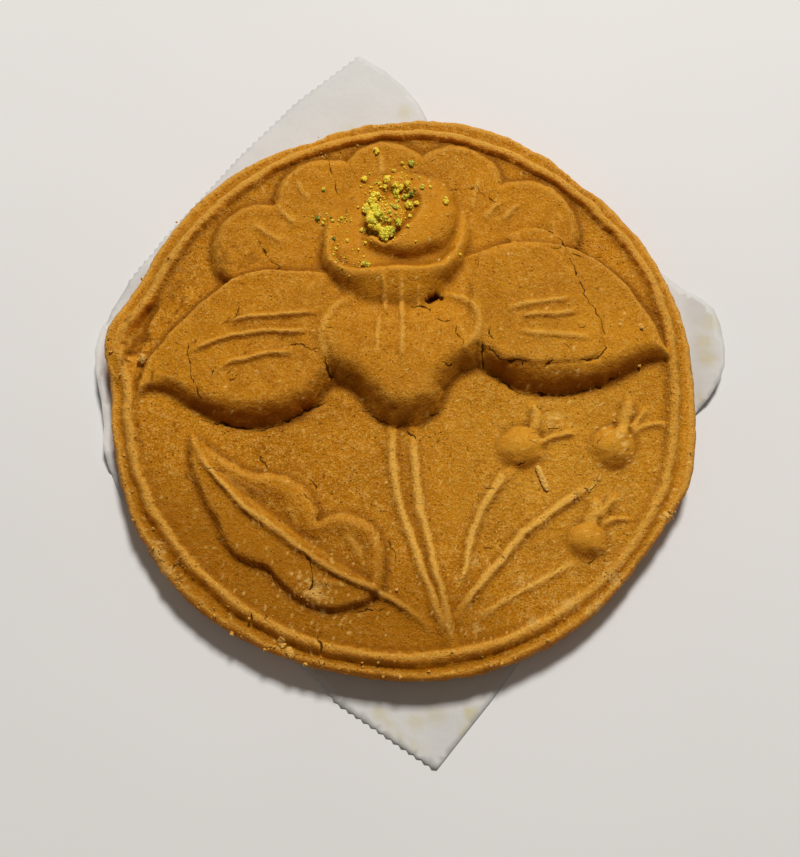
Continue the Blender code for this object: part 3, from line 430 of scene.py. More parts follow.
# The petal curled round the bud: its outline, and how far it stands above the cup's floor from
# front to back; then the dip beside the bud, and the bud: its centre, radius and height
CURL = (
    (-10.6, 36.6), (-6, 33.4), (0.2, 32), (6, 32.8), (10.6, 35.2), (13.4, 40), (14.4, 46), (12, 53),
    (6, 57), (-3, 58), (-7.6, 52), (-10.4, 43),
)
CURL_STEP = ((34, 3.0), (42, 3.9), (50, 3.3), (58, 1.0))
CURL_SLOPES = (8.0, 3.8)
BUD_DIP = (
    (-12.2, 45), (-11.2, 41), (-8.8, 37.4), (-5.2, 35), (-2, 36.4), (1.4, 39.6), (4.2, 43.4), (5, 47),
    (3.4, 50.6), (-2, 53.6), (-7.6, 53.4), (-11.4, 50),
)
BUD_DIP_DEPTH = 2.1
BUD_DIP_SLOPES = (2.4, 2.0)
BUD = (-4.3, 42.9, 7.8, 9.0)

LEAF = (
    (-54.8, -14.5), (-50.9, -17.4), (-45, -21.2), (-38.5, -24.9), (-34.1, -25.1), (-29, -26.1),
    (-23.8, -30.1), (-21, -35.4), (-21.4, -37.4), (-19.6, -36.3), (-14.9, -35.7), (-9.3, -37.6),
    (-5.5, -41.9), (-4.3, -47.6), (-4.8, -52.7), (-7.4, -57), (-12.1, -59.4), (-18.3, -60.2),
    (-24.1, -58.8), (-28.2, -56.3), (-31.4, -53.1), (-33.6, -50.4), (-37.7, -49.1), (-42.8, -46.6),
    (-46, -42.2), (-47.4, -38), (-50.8, -33), (-53.6, -26.6), (-55.2, -20),
)
LEAF_HEIGHT = 2.4
LEAF_SLOPES = (2.4, 1.7)

# Between its raised upper border and its midrib the leaf is hollow, deepest along the midrib
LEAF_HOLLOW = (
    (-49.4, -21.2), (-44.5, -24.4), (-38.1, -27.7), (-33.7, -28.9), (-29, -31.4), (-25.4, -35.8),
    (-22.4, -39.4), (-19.4, -39), (-15.4, -38.5), (-11.2, -40.2), (-8.2, -44.2), (-7.2, -49.6),
    (-7.2, -54), (-12.4, -51.2), (-18.6, -47.4), (-25, -43), (-31.6, -38.4), (-38.4, -33.4),
    (-44.6, -27.8),
)
LEAF_HOLLOW_DEPTH = 1.5
LEAF_HOLLOW_SLOPES = (5.0, 1.3)

# Round fruits: centre, radius and height, then how steeply they rise from their foot
FRUITS = ((29.6, -18.6, 5.7, 3.2), (53.2, -18.4, 5.8, 3.3), (45.4, -42.6, 4.7, 3.0))
DOME_ROUNDNESS = 0.8

# Ridges that stand on whatever is below them: how flat their tops are, how softly they meet what
# they stand on, the share of their length over which they fade, and how much of them is left at the
# end; then for each its height, half its width at both ends, and the points it passes
RIDGE_FLATNESS = 2.0
RIDGE_SOFTNESS = 1.1
RIDGE_FADE = 0.12
RIDGE_END = 0.3
STEMS = (
    (1.2, (1.2, 1.1), ((-3.2, -12), (-2.9, -20), (-2.2, -29), (1, -40), (4.3, -50), (8, -60),
                       (11.2, -68))),
    (1.2, (1.2, 1), ((2.1, -13.5), (2.4, -20), (3.2, -30), (5.2, -40), (7.6, -50), (10.2, -60),
                     (12.6, -69))),
    (1.3, (1.4, 0.8), ((26.8, -24.9), (23.7, -28.2), (19.6, -34.3), (16.9, -41.5), (15.2, -48.1),
                       (12.6, -55.2))),
    (1.3, (1.4, 1), ((46.2, -28.6), (43.9, -30.9), (39.5, -33.7), (33.5, -38.2), (27.6, -43.4),
                     (21.6, -50.4), (15.6, -57.2), (12.6, -61.6))),
    (0.8, (0.8, 0.9), ((43.6, -47.8), (39.6, -49.3), (34.3, -52.5), (27.8, -55.8), (22.4, -58.9),
                       (17.6, -61.4))),
    (1.3, (1, 1.1), ((-54, -17.6), (-49.6, -24.2), (-44.3, -30.3), (-38.4, -35.6), (-31.4, -40.8),
                     (-25.1, -45.4), (-18.3, -49.9), (-10.9, -53.7), (-4.8, -56.5), (1, -60),
                     (7, -64.6))),
)
SEPALS = (
    (1.3, (1.1, 1.5), ((33, -7.2), (33.8, -10.4), (32.8, -14.4))),
    (0.4, (2.4, 1.2), ((34.4, -12.4), (37, -12.2), (40, -13.2), (43.4, -14.6))),
    (1, (0.9, 0.9), ((34.8, -17.6), (37.6, -15.8), (43, -14.9))),
    (1.5, (1.4, 1.9), ((57.8, -5.8), (57.1, -9.7), (55.7, -13.1), (54.4, -16))),
    (0.9, (0.7, 1), ((62, -8.4), (60.1, -11.1), (57.8, -14))),
    (0.8, (0.9, 0.8), ((58.2, -15.3), (61.7, -13), (67, -12.3))),
    (1.2, (1.8, 1.4), ((46, -38.8), (47, -36.6), (48, -34.2), (48.2, -31.8))),
    (1.2, (1.2, 1), ((48.4, -37.4), (50.6, -34.4), (53.2, -31.4))),
    (0.9, (1, 0.7), ((49, -39.2), (52.5, -37.2), (57, -37.2))),
)
VEINS = (
    (0.9, (0.7, 0.9), ((-46, 13.7), (-42.9, 14.3), (-38.1, 14.9), (-31.8, 15.6), (-23, 16.6))),
    (1, (0.8, 0.9), ((-55, 5.6), (-51.6, 7), (-46.9, 8.6), (-39.3, 10.3), (-30, 10.9), (-25, 11))),
    (0.9, (0.7, 0.9), ((-47.4, 0.9), (-43.4, 2.6), (-39, 4), (-34, 4.8), (-29.4, 5.4))),
    (0.6, (0.9, 0.9), ((26.6, 17), (34.5, 18.7), (43, 19.8))),
    (0.7, (0.9, 0.9), ((30, 15.2), (37.9, 15.2), (45, 16.4))),
    (0.5, (0.9, 0.9), ((28.8, 11.1), (37.7, 10.1), (47.4, 8.8))),
    (0.8, (0.7, 1), ((-1.2, 25.6), (-0.9, 20.9), (-0.7, 15.2), (-0.6, 9.5), (-0.4, 2.2))),
    (0.8, (0.8, 0.7), ((-5.4, 25.6), (-5, 22), (-4.8, 16.6))),
    (0.5, (0.7, 0.8), ((-6.4, 15.4), (-6.9, 9.7), (-7.5, 3.6))),
    (0.6, (0.6, 0.6), ((3.6, 23.6), (3.6, 21.1), (4, 17.6))),
    (0.7, (1, 1.2), ((-14.6, 20.6), (-18.2, 18.4), (-20.4, 15.1), (-21.2, 10.8), (-20.6, 6.4),
                     (-19.2, 3.6))),
    (0.6, (0.8, 1.2), ((10.6, 21.8), (15, 20.6), (18.2, 17.8), (19.2, 13.6), (18.3, 9.9), (15.5, 6.6))),
    (0.7, (0.8, 1.1), ((-40.2, 42.5), (-36.5, 39.7), (-32, 37))),
    (0.7, (0.8, 1.1), ((-34.4, 47.9), (-31.6, 45), (-28.8, 42.1))),
    (0.5, (0.8, 1), ((-28.9, 55.5), (-27.5, 52.4), (-25.9, 49.4))),
    (0.7, (0.9, 0.9), ((-6.2, 62.9), (-6.1, 59.8), (-6.1, 57))),
    (0.7, (0.8, 1), ((20.4, 55.8), (19.2, 51.6), (18.2, 46.6))),
    (0.7, (0.8, 1), ((25.8, 49), (23.4, 46.7), (21.3, 44.2))),
    (0.7, (0.8, 1), ((30.6, 48.7), (28.5, 46.2), (26.4, 43.6))),
    (0.6, (0.8, 0.9), ((-14.3, -41.1), (-12.6, -44), (-10.4, -47.8))),
    (0.6, (0.8, 0.9), ((-29.4, -33.5), (-28, -36.2), (-26.2, -39.4))),
    (0.5, (0.7, 0.9), ((-45.4, -25.6), (-42.6, -28), (-39.4, -30.5))),
    (0.5, (0.8, 0.8), ((-21.8, -53.2), (-18.4, -53.5), (-14.4, -54.2))),
)

# A trench between the ring and the left petal, as a ridge of a height below nought
TRENCHES = ((-1.4, (1.5, 2.2), ((-65.6, 21), (-68.4, 15.6), (-70.2, 10.4), (-71, 5))),)


def away_from(angle, centre):
    """Degrees from a centre in degrees to an angle in radians, the short way round."""
    return (np.degrees(angle) - centre + 180.0) % 360.0 - 180.0


def bell(away, spread):
    """One in the middle, falling off evenly on both sides."""
    return np.exp(-0.5 * (away / spread) ** 2)


def wavy_radius(mean, bulges, angle):
    """Radius at each angle in radians: a circle with named bulges and dips."""
    return sum((size * bell(away_from(angle, centre), spread) for centre, size, spread in bulges), mean)


def smooth_curve(points, step, closed=False):
    """Dots about one step apart on a smooth curve through the points, in two or three axes."""
    given = np.array(points, float)
    if closed:
        padded = np.vstack([given[-1:], given, given[:2]])
    else:
        padded = np.vstack([2 * given[0] - given[1], given, 2 * given[-1] - given[-2]])
    dots = []
    for before, start, end, after in zip(padded, padded[1:], padded[2:], padded[3:]):
        pieces = max(1, round(np.hypot(*(end - start)[:2]) / step))
        t = np.arange(pieces)[:, None] / pieces
        dots.append(0.5 * (2 * start + (end - before) * t
                           + (2 * before - 5 * start + 4 * end - after) * t ** 2
                           + (3 * start - before - 3 * end + after) * t ** 3))
    if not closed:
        dots.append(given[-1:])
    return np.vstack(dots)


def nearest(line, x, y, closed=False):
    """For each point: how far the line of dots is, on which side, how far along, and which way in y."""
    starts = line if closed else line[:-1]
    ends = np.roll(line, -1, axis=0) if closed else line[1:]
    best = np.full(x.shape, np.inf)
    side = along = away_y = np.zeros(x.shape)
    for number, (start, end) in enumerate(zip(starts, ends)):
        run = end[:2] - start[:2]
        length = max(run @ run, 1e-12)
        t = np.clip(((x - start[0]) * run[0] + (y - start[1]) * run[1]) / length, 0.0, 1.0)
        off_x = x - start[0] - t * run[0]
        off_y = y - start[1] - t * run[1]
        gap = np.hypot(off_x, off_y)
        closer = gap < best
        best = np.where(closer, gap, best)
        side = np.where(closer, run[0] * off_y - run[1] * off_x, side)
        along = np.where(closer, (number + t) / len(starts), along)
        away_y = np.where(closer, off_y / np.maximum(gap, 1e-9), away_y)
    return best, side, along, away_y


def rounded(share):
    """A swell that starts steep at its foot and bends over evenly to level."""
    return np.sin(0.5 * math.pi * np.clip(share, 0.0, 1.0))


def shoulder(share):
    """A wall that climbs straight for the first part of its width and then rolls over to level."""
    share = np.clip(share, 0.0, 1.0)
    steep = 2.0 / (1.0 + WALL_SHARE)
    rolled = 1.0 - 0.5 * steep * (1.0 - share) ** 2 / (1.0 - WALL_SHARE)
    return np.where(share < WALL_SHARE, steep * share, rolled)


def only_near(reach, margin, x, y, shape):
    """A shape's height, worked out only in the box round the dots it is made from."""
    low, high = reach.min(axis=0) - margin, reach.max(axis=0) + margin
    near = (x > low[0]) & (x < high[0]) & (y > low[1]) & (y < high[1])
    height = np.zeros(x.shape)
    height[near] = shape(x[near], y[near])
    return height


def pad(x, y, outline, top, slopes, along_y=False):
    """A raised pad: its foot is the outline, and its back and front slopes have their own widths.

    Its top is one height, or heights at places along x, or along y.  Its walls are as steep where
    it is low as where it is tallest.
    """
    loop = smooth_curve(outline, 1.0, closed=True)
    back_slope, front_slope = slopes
    tallest = max(level for _, level in top) if isinstance(top, tuple) else top

    def shape(px, py):
        gap, _, _, away_y = nearest(loop, px, py, closed=True)
        slope = back_slope + (front_slope - back_slope) * 0.5 * (1.0 + away_y)
        tall = np.interp(py if along_y else px, *zip(*top)) if isinstance(top, tuple) else top
        width = slope * tall / tallest
        return np.where(inside(loop, px, py), tall * shoulder(gap / width), 0.0)

    return only_near(loop, 0.0, x, y, shape)


def bowl(x, y):
    """The cup: a wall that bulges up from its foot to its rim, and a floor inside the lip."""
    foot = smooth_curve(CUP_FOOT, 1.0, closed=True)
    rim = smooth_curve(CUP_RIM, 1.0, closed=True)

    def shape(px, py):
        foot_gap, rim_gap = (nearest(loop, px, py, closed=True)[0] for loop in (foot, rim))
        top, floor = (np.interp(py, *zip(*rise)) for rise in (CUP_RIM_RISE, CUP_FLOOR_RISE))
        share = foot_gap / (foot_gap + rim_gap)
        share = CUP_WALL_BULGE * rounded(share) + (1.0 - CUP_WALL_BULGE) * share
        wall = CUP_FOOT_HEIGHT + (top - CUP_FOOT_HEIGHT) * share
        lip = 0.5 + 0.5 * np.cos(math.pi * ramp(rim_gap, 0.0, CUP_LIP_WIDTH))
        height = np.where(inside(rim, px, py), floor + (top - floor) * lip, wall)
        return np.where(inside(foot, px, py), height, 0.0)

    return only_near(foot, 0.0, x, y, shape)


def ridge(x, y, points, tall, half_widths):
    """Extra height of a thin ridge along a curve, fading out at both ends."""
    line = smooth_curve(points, 0.8)

    def shape(px, py):
        gap, _, along, _ = nearest(line, px, py)
        fade = ramp(np.minimum(along, 1.0 - along), 0.0, RIDGE_FADE)
        half_width = np.interp(along, (0.0, 1.0), half_widths)
        share = rounded(RIDGE_FLATNESS * (1.0 - gap / half_width)) ** RIDGE_SOFTNESS
        return tall * share * (RIDGE_END + (1.0 - RIDGE_END) * fade)

    return only_near(line, max(half_widths), x, y, shape)


def dome(x, y, centre_x, centre_y, radius, height):
    """A round cap standing on the field."""
    share = np.hypot(x - centre_x, y - centre_y) / radius
    return height * np.clip(1.0 - share ** 2, 0.0, 1.0) ** DOME_ROUNDNESS


def ring_and_flange(radius, angle):
    """Height outside the relief: the ring, the groove beside it and the flange to the edge."""
    ring = wavy_radius(RING_RADIUS, RING_BULGES, angle)
    edge = wavy_radius(EDGE_RADIUS, EDGE_BULGES, angle)
    centre, loss, spread = RING_SCRAPE
    height = RING_HEIGHT * (1.0 - loss * bell(away_from(angle, centre), spread))
    inner_share = ramp(ring - radius, 0.0, RING_INNER_WIDTH)
    inner_side = height * np.sqrt(1.0 - inner_share ** RING_SQUARENESS)
    outer_share = ramp(radius - ring, 0.0, RING_OUTER_WIDTH)
    outer_side = height * np.cos(0.5 * math.pi * outer_share)
    outward = ramp(radius - ring, 0.0, edge - ring)
    fall = EDGE_DROP * (1.0 - np.sqrt(1.0 - outward ** EDGE_SQUARENESS))
    swell = SWELL_HEIGHT * bell(outward - SWELL_PLACE, SWELL_SPREAD)
    flange = swell - GROOVE_DEPTH * rounded(outward / GROOVE_PLACE) - fall
    centre, spread, level = PRESSED_BAND
    flange = flange + bell(away_from(angle, centre), spread) * (level * height - fall - flange)
    outer_side = np.maximum(outer_side + flange * outer_share, flange)
    return np.where(radius > ring, outer_side, inner_side)


def relief_height(x, y):
    """Height of the moulded face above the field at each point."""
    radius, angle = np.hypot(x, y), np.arctan2(y, x)
    ring = wavy_radius(RING_RADIUS, RING_BULGES, angle)
    foot = ring - RING_INNER_WIDTH
    length_x, length_y = FIELD_SWELL_LENGTHS
    field = FIELD_SWELL * np.sin(x / length_x) * np.cos(y / length_y)
    forms = [field - MOAT_DEPTH * np.exp(-(((foot - MOAT_PLACE - radius) / MOAT_WIDTH) ** 2))]
    for centre_x, centre_y, size in FAN_LOBES:
        depth = size - np.hypot(x - centre_x, y - centre_y)
        forms.append(FAN_HEIGHT * shoulder(depth / FAN_SLOPE) * (depth > 0))
    forms.append(pad(x, y, LEFT_WING, LEFT_WING_RISE, LEFT_WING_SLOPES))
    forms.append(pad(x, y, RIGHT_BACK, RIGHT_BACK_HEIGHT, RIGHT_BACK_SLOPES))
    step = pad(x, y, RIGHT_INNER, RIGHT_INNER_STEP, RIGHT_INNER_SLOPES)
    forms.append(pad(x, y, RIGHT_WING, RIGHT_WING_RISE, RIGHT_WING_SLOPES) + step)
    forms.append(pad(x, y, FRONT_PETAL, FRONT_PETAL_RISE, FRONT_PETAL_SLOPES, along_y=True))
    forms.append(bowl(x, y))
    height = np.maximum.reduce(forms)
    curl = pad(x, y, CURL, CURL_STEP, CURL_SLOPES, along_y=True)
    curl_top = curl + np.interp(y, *zip(*CUP_FLOOR_RISE))
    curl_top = curl_top - pad(x, y, BUD_DIP, BUD_DIP_DEPTH, BUD_DIP_SLOPES)
    height = np.where(curl > 0, np.maximum(height, curl_top), height)
    leaf = pad(x, y, LEAF, LEAF_HEIGHT, LEAF_SLOPES)
    leaf = leaf - pad(x, y, LEAF_HOLLOW, LEAF_HOLLOW_DEPTH, LEAF_HOLLOW_SLOPES)
    height = np.maximum.reduce([height, leaf, *(dome(x, y, *each) for each in (BUD, *FRUITS))])
    for tall, half_widths, points in STEMS + SEPALS + VEINS + TRENCHES:
        height = height + ridge(x, y, points, tall, half_widths)
    rim = ring_and_flange(radius, angle)
    height = np.where(radius > foot, np.maximum(height, rim), height)
    return np.where(radius > ring, rim, height)


# How the face is worked out: spacing of the heights, how far they reach, and how soft their edges are
SCAN = 0.2
REACH = 82.0
SOFTNESS = 0.2
scan_line = np.arange(-REACH, REACH + SCAN, SCAN)

# How unevenly the edges of the relief are drawn, and how the face swells: height and size of each swing
EDGE_SWINGS = ((0.35, 5.0), (0.20, 1.6), (0.09, 0.6))
FACE_SWELLS = ((0.18, 13.0), (0.08, 4.2), (0.04, 1.7), (0.015, 0.7))

# Where the eye of the viewer is: cracks, pits and crumbs are placed as they are seen from there
EYE = (-1.157, -98.334, 286.417)

# Cracks as seen: half width of the dark line of painted shade, depth of the groove, then the points they pass
CRACKS = (
    (0.17, 0.7, ((-40, 40), (-38.2, 37.6), (-36, 33.6), (-34, 32), (-33.3, 31.2))),
    (0.14, 0.5, ((-20.8, 63.2), (-20, 60.3), (-18.9, 57.1), (-18.4, 54.3), (-17.5, 52.2))),
    (0.1, 0.3, ((19.6, 55.7), (20.7, 53.8), (22.1, 52.9), (23.7, 51.5), (25.6, 50.7))),
    (0.17, 0.6, ((-48, 15.2), (-46.7, 15.9), (-44.9, 16.9), (-44, 18.7), (-43.4, 20.7))),
    (0.14, 0.5, ((-55.6, 1.6), (-54.4, -1.7), (-53.3, -4), (-52.1, -6.8))),
    (0.09, 0.2, ((-56.8, 10.6), (-56.6, 7), (-55.9, 4), (-55.6, 1.6))),
    (0.29, 1.2, ((-20.7, 5.6), (-20.4, 4.4), (-19.7, 2.2), (-18.9, -0.4))),
    (0.17, 0.8, ((22, 13.7), (22.6, 12.2), (23.3, 10.8))),
    (0.26, 1.1, ((20.4, 10.2), (20.3, 8), (20.8, 5.7), (20.6, 2.8))),
    (0.2, 0.6, ((36, 43.5), (39.2, 42.3), (41.6, 40.5), (43, 38.4), (43.5, 35.6))),
    (0.14, 0.4, ((43.9, 34.4), (45.2, 31.6), (47, 27), (48.3, 23), (50, 20), (52, 16), (52.6, 12))),
    (0.22, 0.7, ((20.8, 9.8), (23, 7.6), (25.4, 5.4), (27, 4.8), (30.2, 5.2), (33.3, 5.5))),
    (0.19, 0.6, ((30.6, 5), (30.7, 3.4))),
    (0.23, 0.7, ((36.4, 3.5), (38.2, 4.6), (39.6, 5.1))),
    (0.19, 0.6, ((45.3, 5), (48.5, 5.6), (51.4, 6.2), (52.6, 8.2), (52.2, 10.7))),
    (0.14, 0.6, ((-52.6, -11.2), (-49.6, -11.9), (-46.3, -12.3), (-43.2, -13.1), (-37.6, -13.9),
                 (-33, -13.1))),
    (0.19, 0.7, ((-32.4, -12.9), (-29.9, -11.2), (-25.4, -8.5), (-22.8, -7.4), (-20.3, -6.4))),
    (0.16, 0.7, ((20.7, 1.3), (23.8, 0.2), (27.3, -2.3), (30.4, -4.2), (34, -4.2), (38.7, -4.5))),
    (0.16, 0.7, ((39.4, -4.6), (41.8, -4.5), (44.9, -3.6), (49.1, -2.6), (53.4, -0.4), (56.1, 2.1))),
    (0.1, 0.4, ((-13.7, -5.7), (-10.8, -8.3), (-8.3, -10.1), (-5.4, -11.9), (-2.4, -13.2), (0, -12.9))),
    (0.17, 0.6, ((0.5, -14.4), (1.6, -15), (2.9, -16.2))),
    (0.17, 0.5, ((6.4, -10.4), (8, -9.6), (9.6, -8.3))),
    (0.17, 0.4, ((1.9, 20.1), (3.2, 20.4), (5, 20.3), (6.4, 19.8), (6.6, 18.4))),
    (0.1, 0.3, ((-0.6, 23.6), (1.2, 23.5), (2.9, 23.7))),
    (0.12, 0.3, ((8.6, 17), (10.4, 16), (12, 16.2))),
    (0.12, 0.3, ((13.4, 14.4), (13.6, 12.6), (15.2, 11), (15.4, 9.4))),
    (0.12, 0.3, ((16.2, 13.4), (17.2, 12), (18.4, 11.4))),
    (0.13, 0.3, ((-37.4, -20.6), (-35, -23.5))),
    (0.12, 0.3, ((-24.4, -26.4), (-22.6, -28.6), (-22, -31))),
    (0.13, 0.4, ((-5, -41), (-3, -44.6), (-2, -49.5))),
    (0.13, 0.4, ((-25.9, -44.9), (-24.2, -47.5), (-22.9, -49.8), (-22.9, -52.6), (-23.5, -54.3),
                 (-26.3, -56))),
    (0.14, 0.4, ((-13, -60.4), (-9, -60), (-4, -59.2))),
    (0.17, 0.5, ((-2.2, -53), (-1, -54), (-1.5, -55.4))),
    (0.23, 0.8, ((-37.9, -60.4), (-37.6, -61.6), (-37.1, -62.8))),
    (0.23, 0.8, ((-21.2, -66.6), (-20.6, -68.2), (-20.3, -70))),
    (0.14, 0.4, ((36.4, -10.6), (38.8, -11.4), (40.2, -12.2))),
    (0.1, 0.3, ((34.6, -12.4), (37, -13.4), (39.6, -13.2))),
    (0.1, 0.3, ((36, -9.4), (38, -10.2), (39.2, -10.2))),
    (0.08, 0.2, ((-30.5, 9.1), (-27.7, 9.6), (-24, 8.1))),
)

# Short hairline cracks strewn on the face: how many and how far out; then half their length and half
# their width, least and most, how much they turn and bend, and how deep they are
HAIR_CRACKS = 60
HAIR_REACH = 66.0
HAIR_HALF_LENGTH = (0.5, 1.6)
HAIR_HALF_WIDTH = (0.07, 0.12)
HAIR_TURN = 0.6
HAIR_BEND = 0.2
HAIR_DEPTH = 0.2

# How each crack is drawn: the height and size of the swings in its course, the share of its length
# over which it tapers, how whole it is and how much that varies, how far out its mask reaches, how much
# wider its groove is than its dark line, and the layers of masks that keep neighbours apart
CRACK_WANDER = ((0.4, 1.3), (0.2, 0.5))
CRACK_TAPER = 0.2
CRACK_WHOLENESS = (0.75, 1.1)
CRACK_REACH = 1.4
GROOVE_MARGIN = 0.2
CRACK_LAYERS = 3
LAYER_GAP = 3.0
NO_CRACK = 9.0

# Torn pits as seen: x, y, radius and depth; the first four are the hole beside the cup.  More small
# ones are strewn on the face: how many, how far out, and their radius and depth, each given by its
# least and how much more it may be.  Then their widths and lengths as shares of that radius, how
# uneven their edges are, and how strong the painted shade in the shallowest is and how much more with depth.
PITS = (
    (6.6, 21.8, 0.7, 1.6), (7.4, 22.8, 0.95, 2.2), (8.6, 23, 0.9, 2), (9.9, 22.6, 0.6, 1.2),
    (-4, 26.6, 0.35, 0.5), (27.1, -41, 0.4, 0.5), (-6.2, 2.2, 0.3, 0.3), (-57.4, 13, 0.4, 0.4),
    (-64.4, -11.2, 0.3, 0.4), (12, 27.3, 0.3, 0.5), (13, 29.8, 0.3, 0.4), (-35.3, 11.6, 0.3, 0.3),
    (39.1, -12, 0.3, 0.4), (-58.4, -2.5, 0.3, 0.3),
)
SMALL_PITS = 70
SMALL_PIT_REACH = 74.0
SMALL_PIT_RADIUS = (0.18, 0.26)
SMALL_PIT_DEPTH = (0.15, 0.3)
PIT_WIDTHS = (0.6, 1.0)
PIT_LENGTHS = (0.9, 1.6)
PIT_UNEVENNESS = 0.45
PIT_TORN = (0.35, 0.6)


def swells(x, y, sizes, seed):
    """Smooth random swells of several sizes added up, each given by its height and its size."""
    return sum(height * lumpy(x, y, size, seed + i) for i, (height, size) in enumerate(sizes))


def blurred(grid, reach):
    """The grid softened by a bell-shaped average with the given reach in millimetres."""
    steps = int(3.0 * reach / SCAN)
    weights = np.exp(-0.5 * (np.arange(-steps, steps + 1) * SCAN / reach) ** 2)
    weights = weights / weights.sum()
    for axis in (0, 1):
        padded = np.pad(grid, [(steps, steps) if a == axis else (0, 0) for a in (0, 1)], mode="edge")
        size = grid.shape[axis]
        grid = sum(w * np.take(padded, np.arange(i, i + size), axis) for i, w in enumerate(weights))
    return grid


def read_grid(grid, x, y):
    """Values of the grid at any points, in straight lines between its own."""
    last = len(scan_line) - 1.001
    across, up = (np.clip((np.asarray(place) + REACH) / SCAN, 0, last) for place in (x, y))
    column, row = across.astype(int), up.astype(int)
    s, t = across - column, up - row
    low = grid[row, column] * (1 - s) + grid[row, column + 1] * s
    high = grid[row + 1, column] * (1 - s) + grid[row + 1, column + 1] * s
    return low * (1 - t) + high * t


def settled(points):
    """Where points as seen from the eye really lie on the face: x, y and height."""
    seen = np.array(points, float)[:, :2]
    place = seen
    for _ in range(4):
        place = seen + (np.array(EYE[:2]) - seen) * (read_grid(face, *place.T) / EYE[2])[:, None]
    return np.column_stack([place, read_grid(face, *place.T)])


def window(points, margin):
    """The part of the grid round some points, as slices of its rows and columns."""
    low, high = np.min(points, axis=0) - margin, np.max(points, axis=0) + margin
    across, up = (slice(*np.searchsorted(scan_line, (low[i], high[i]))) for i in (0, 1))
    return up, across


def crack_lines():
    """Every crack as a half width, a depth and dots along it on the face."""
    lines = [(half, depth, smooth_curve(settled(points)[:, :2], 0.6)) for half, depth, points in CRACKS]
    draw = np.random.default_rng(11)
    for _ in range(HAIR_CRACKS):
        middle = draw.uniform(-HAIR_REACH, HAIR_REACH, 2)
        turn = draw.normal(0.0, HAIR_TURN)
        run = draw.uniform(*HAIR_HALF_LENGTH) * np.array((math.cos(turn), math.sin(turn)))
        bend = draw.normal(0.0, HAIR_BEND) * np.array((-run[1], run[0]))
        dots = smooth_curve([middle - run, middle + bend, middle + run], 0.4)
        lines.append((draw.uniform(*HAIR_HALF_WIDTH), HAIR_DEPTH, dots))
    return lines


def layer_for(line, layers):
    """The first layer in which no crack comes near this one, so that its two sides stay plain."""
    for number, others in enumerate(layers):
        gaps = [np.hypot(*(line[:, None] - other[None]).transpose(2, 0, 1)).min() for other in others]
        if min(gaps, default=np.inf) > LAYER_GAP:
            return number
    return None


def draw_crack(number, half, depth, line):
    """Draws one crack in its layer: how far each point lies to one side of it, and its half width."""
    part = window(line, 2.5)
    px, py = scan_x[part], scan_y[part]
    wander_x = px + swells(px, py, CRACK_WANDER, 21)
    wander_y = py + swells(px, py, CRACK_WANDER, 23)
    gap, side, along, _ = nearest(line, wander_x, wander_y)
    whole, uneven = CRACK_WHOLENESS
    strength = np.clip(whole + uneven * lumpy(px, py, 1.5, 25), 0.0, 1.0)
    strength = strength * ramp(np.minimum(along, 1.0 - along), 0.0, CRACK_TAPER) ** 0.5
    closer = gap < np.abs(crack_side[number][part])
    crack_side[number][part] = np.where(closer, np.sign(side) * gap, crack_side[number][part])
    width = np.where(gap < CRACK_REACH, half * strength, 0.0)
    crack_width[number][part] = np.where(closer, width, crack_width[number][part])
    groove = depth * strength * np.exp(-((gap / (half + GROOVE_MARGIN)) ** 2))
    sunk[part] = np.maximum(sunk[part], groove)


scan_x, scan_y = np.meshgrid(scan_line, scan_line)
drawn_x = scan_x + swells(scan_x, scan_y, EDGE_SWINGS, 12)
drawn_y = scan_y + swells(scan_x, scan_y, EDGE_SWINGS, 16)
face = blurred(relief_height(drawn_x, drawn_y), SOFTNESS)
face = face + swells(scan_x, scan_y, FACE_SWELLS, 1)
from_middle = np.hypot(scan_x, scan_y)

# What the material reads of the face.  Where each part of it begins, and over how much it comes in,
# then its most where that isn't one: the ring, its walls, where painted shade goes, the end of the relief
# inside it, where the painted wall shade stops, the two sides of the front petal, the tops of the ridges,
# and where the mould's polish shows
ON_RING = (RING_RADIUS - 2.0, 1.5)
RING_WALLS = (RING_RADIUS - 3.0, 2.0)
OUTSIDE_RELIEF = (RING_RADIUS - 5.0, 2.0)
BESIDE_MIDDLE = (21.0, 3.0)
RIDGE_TOP = (0.375, 0.625)
POLISHED_RIDGE = (0.0, 1.0, 0.45)
POLISHED_FRUIT = (0.0, 1.6, 0.9)
POLISHED_PETAL = (1.6, 1.2, 0.5)

# The ridges whose tops count, by their least height, and how much a sepal or vein counts beside a stem
LEAST_VEIN = 0.4
VEIN_SHARE = 0.9

# How far the face stands out from its surroundings, which paints shade where it lies lower: how wide these
# are, the range that counts, and how much of it is left out on the ring; the same for its crests, then how
# pale they are, on and off the ring, and how much paler the stems are.  The paler crests are partly the
# sweet's own paler tops and partly a painted highlight
STAND_REACH = 1.5
STAND_RANGE = 1.4
RING_STAND = 0.6
CREST_REACH = 0.8
CREST_RANGE = 0.22
CREST_LEVEL = 0.4
RING_CREST = 0.5
STEM_CREST = 0.5

# Painted shade on walls that face the viewer, away from the light: how far they are blurred, the steepest
# that counts, the slope at which the ring's are at their darkest, and how much less dark the middle of the
# front petal is
WALL_BLUR = 0.3
STEEPEST_WALL = 1.1
STEEP_RING = 0.7
MIDDLE_RELIEF = 0.35

# How polished the cup and the ring are, how far the cup's polish is blurred, and how far a fruit's
# reaches beyond its foot
CUP_POLISH = 0.9
RING_POLISH = 0.35
CUP_BLUR = 0.8
FRUIT_MARGIN = 0.8

# The painted sheen at the right, a pale patch where the light's sheen falls: its middle and its spread;
# then the deeper, warmer side at the front left: the way it lies, where it begins, over how much it comes
# in and its most, and how far the crest of the ring is spared
PAINTED_SHEEN_PATCH = (40.0, -20.0, 22.36)
FRONT_LEFT_WAY = (-0.35, -0.94)
FRONT_LEFT = (40.0, 30.0, 0.5)
SPARED_CREST = 0.9

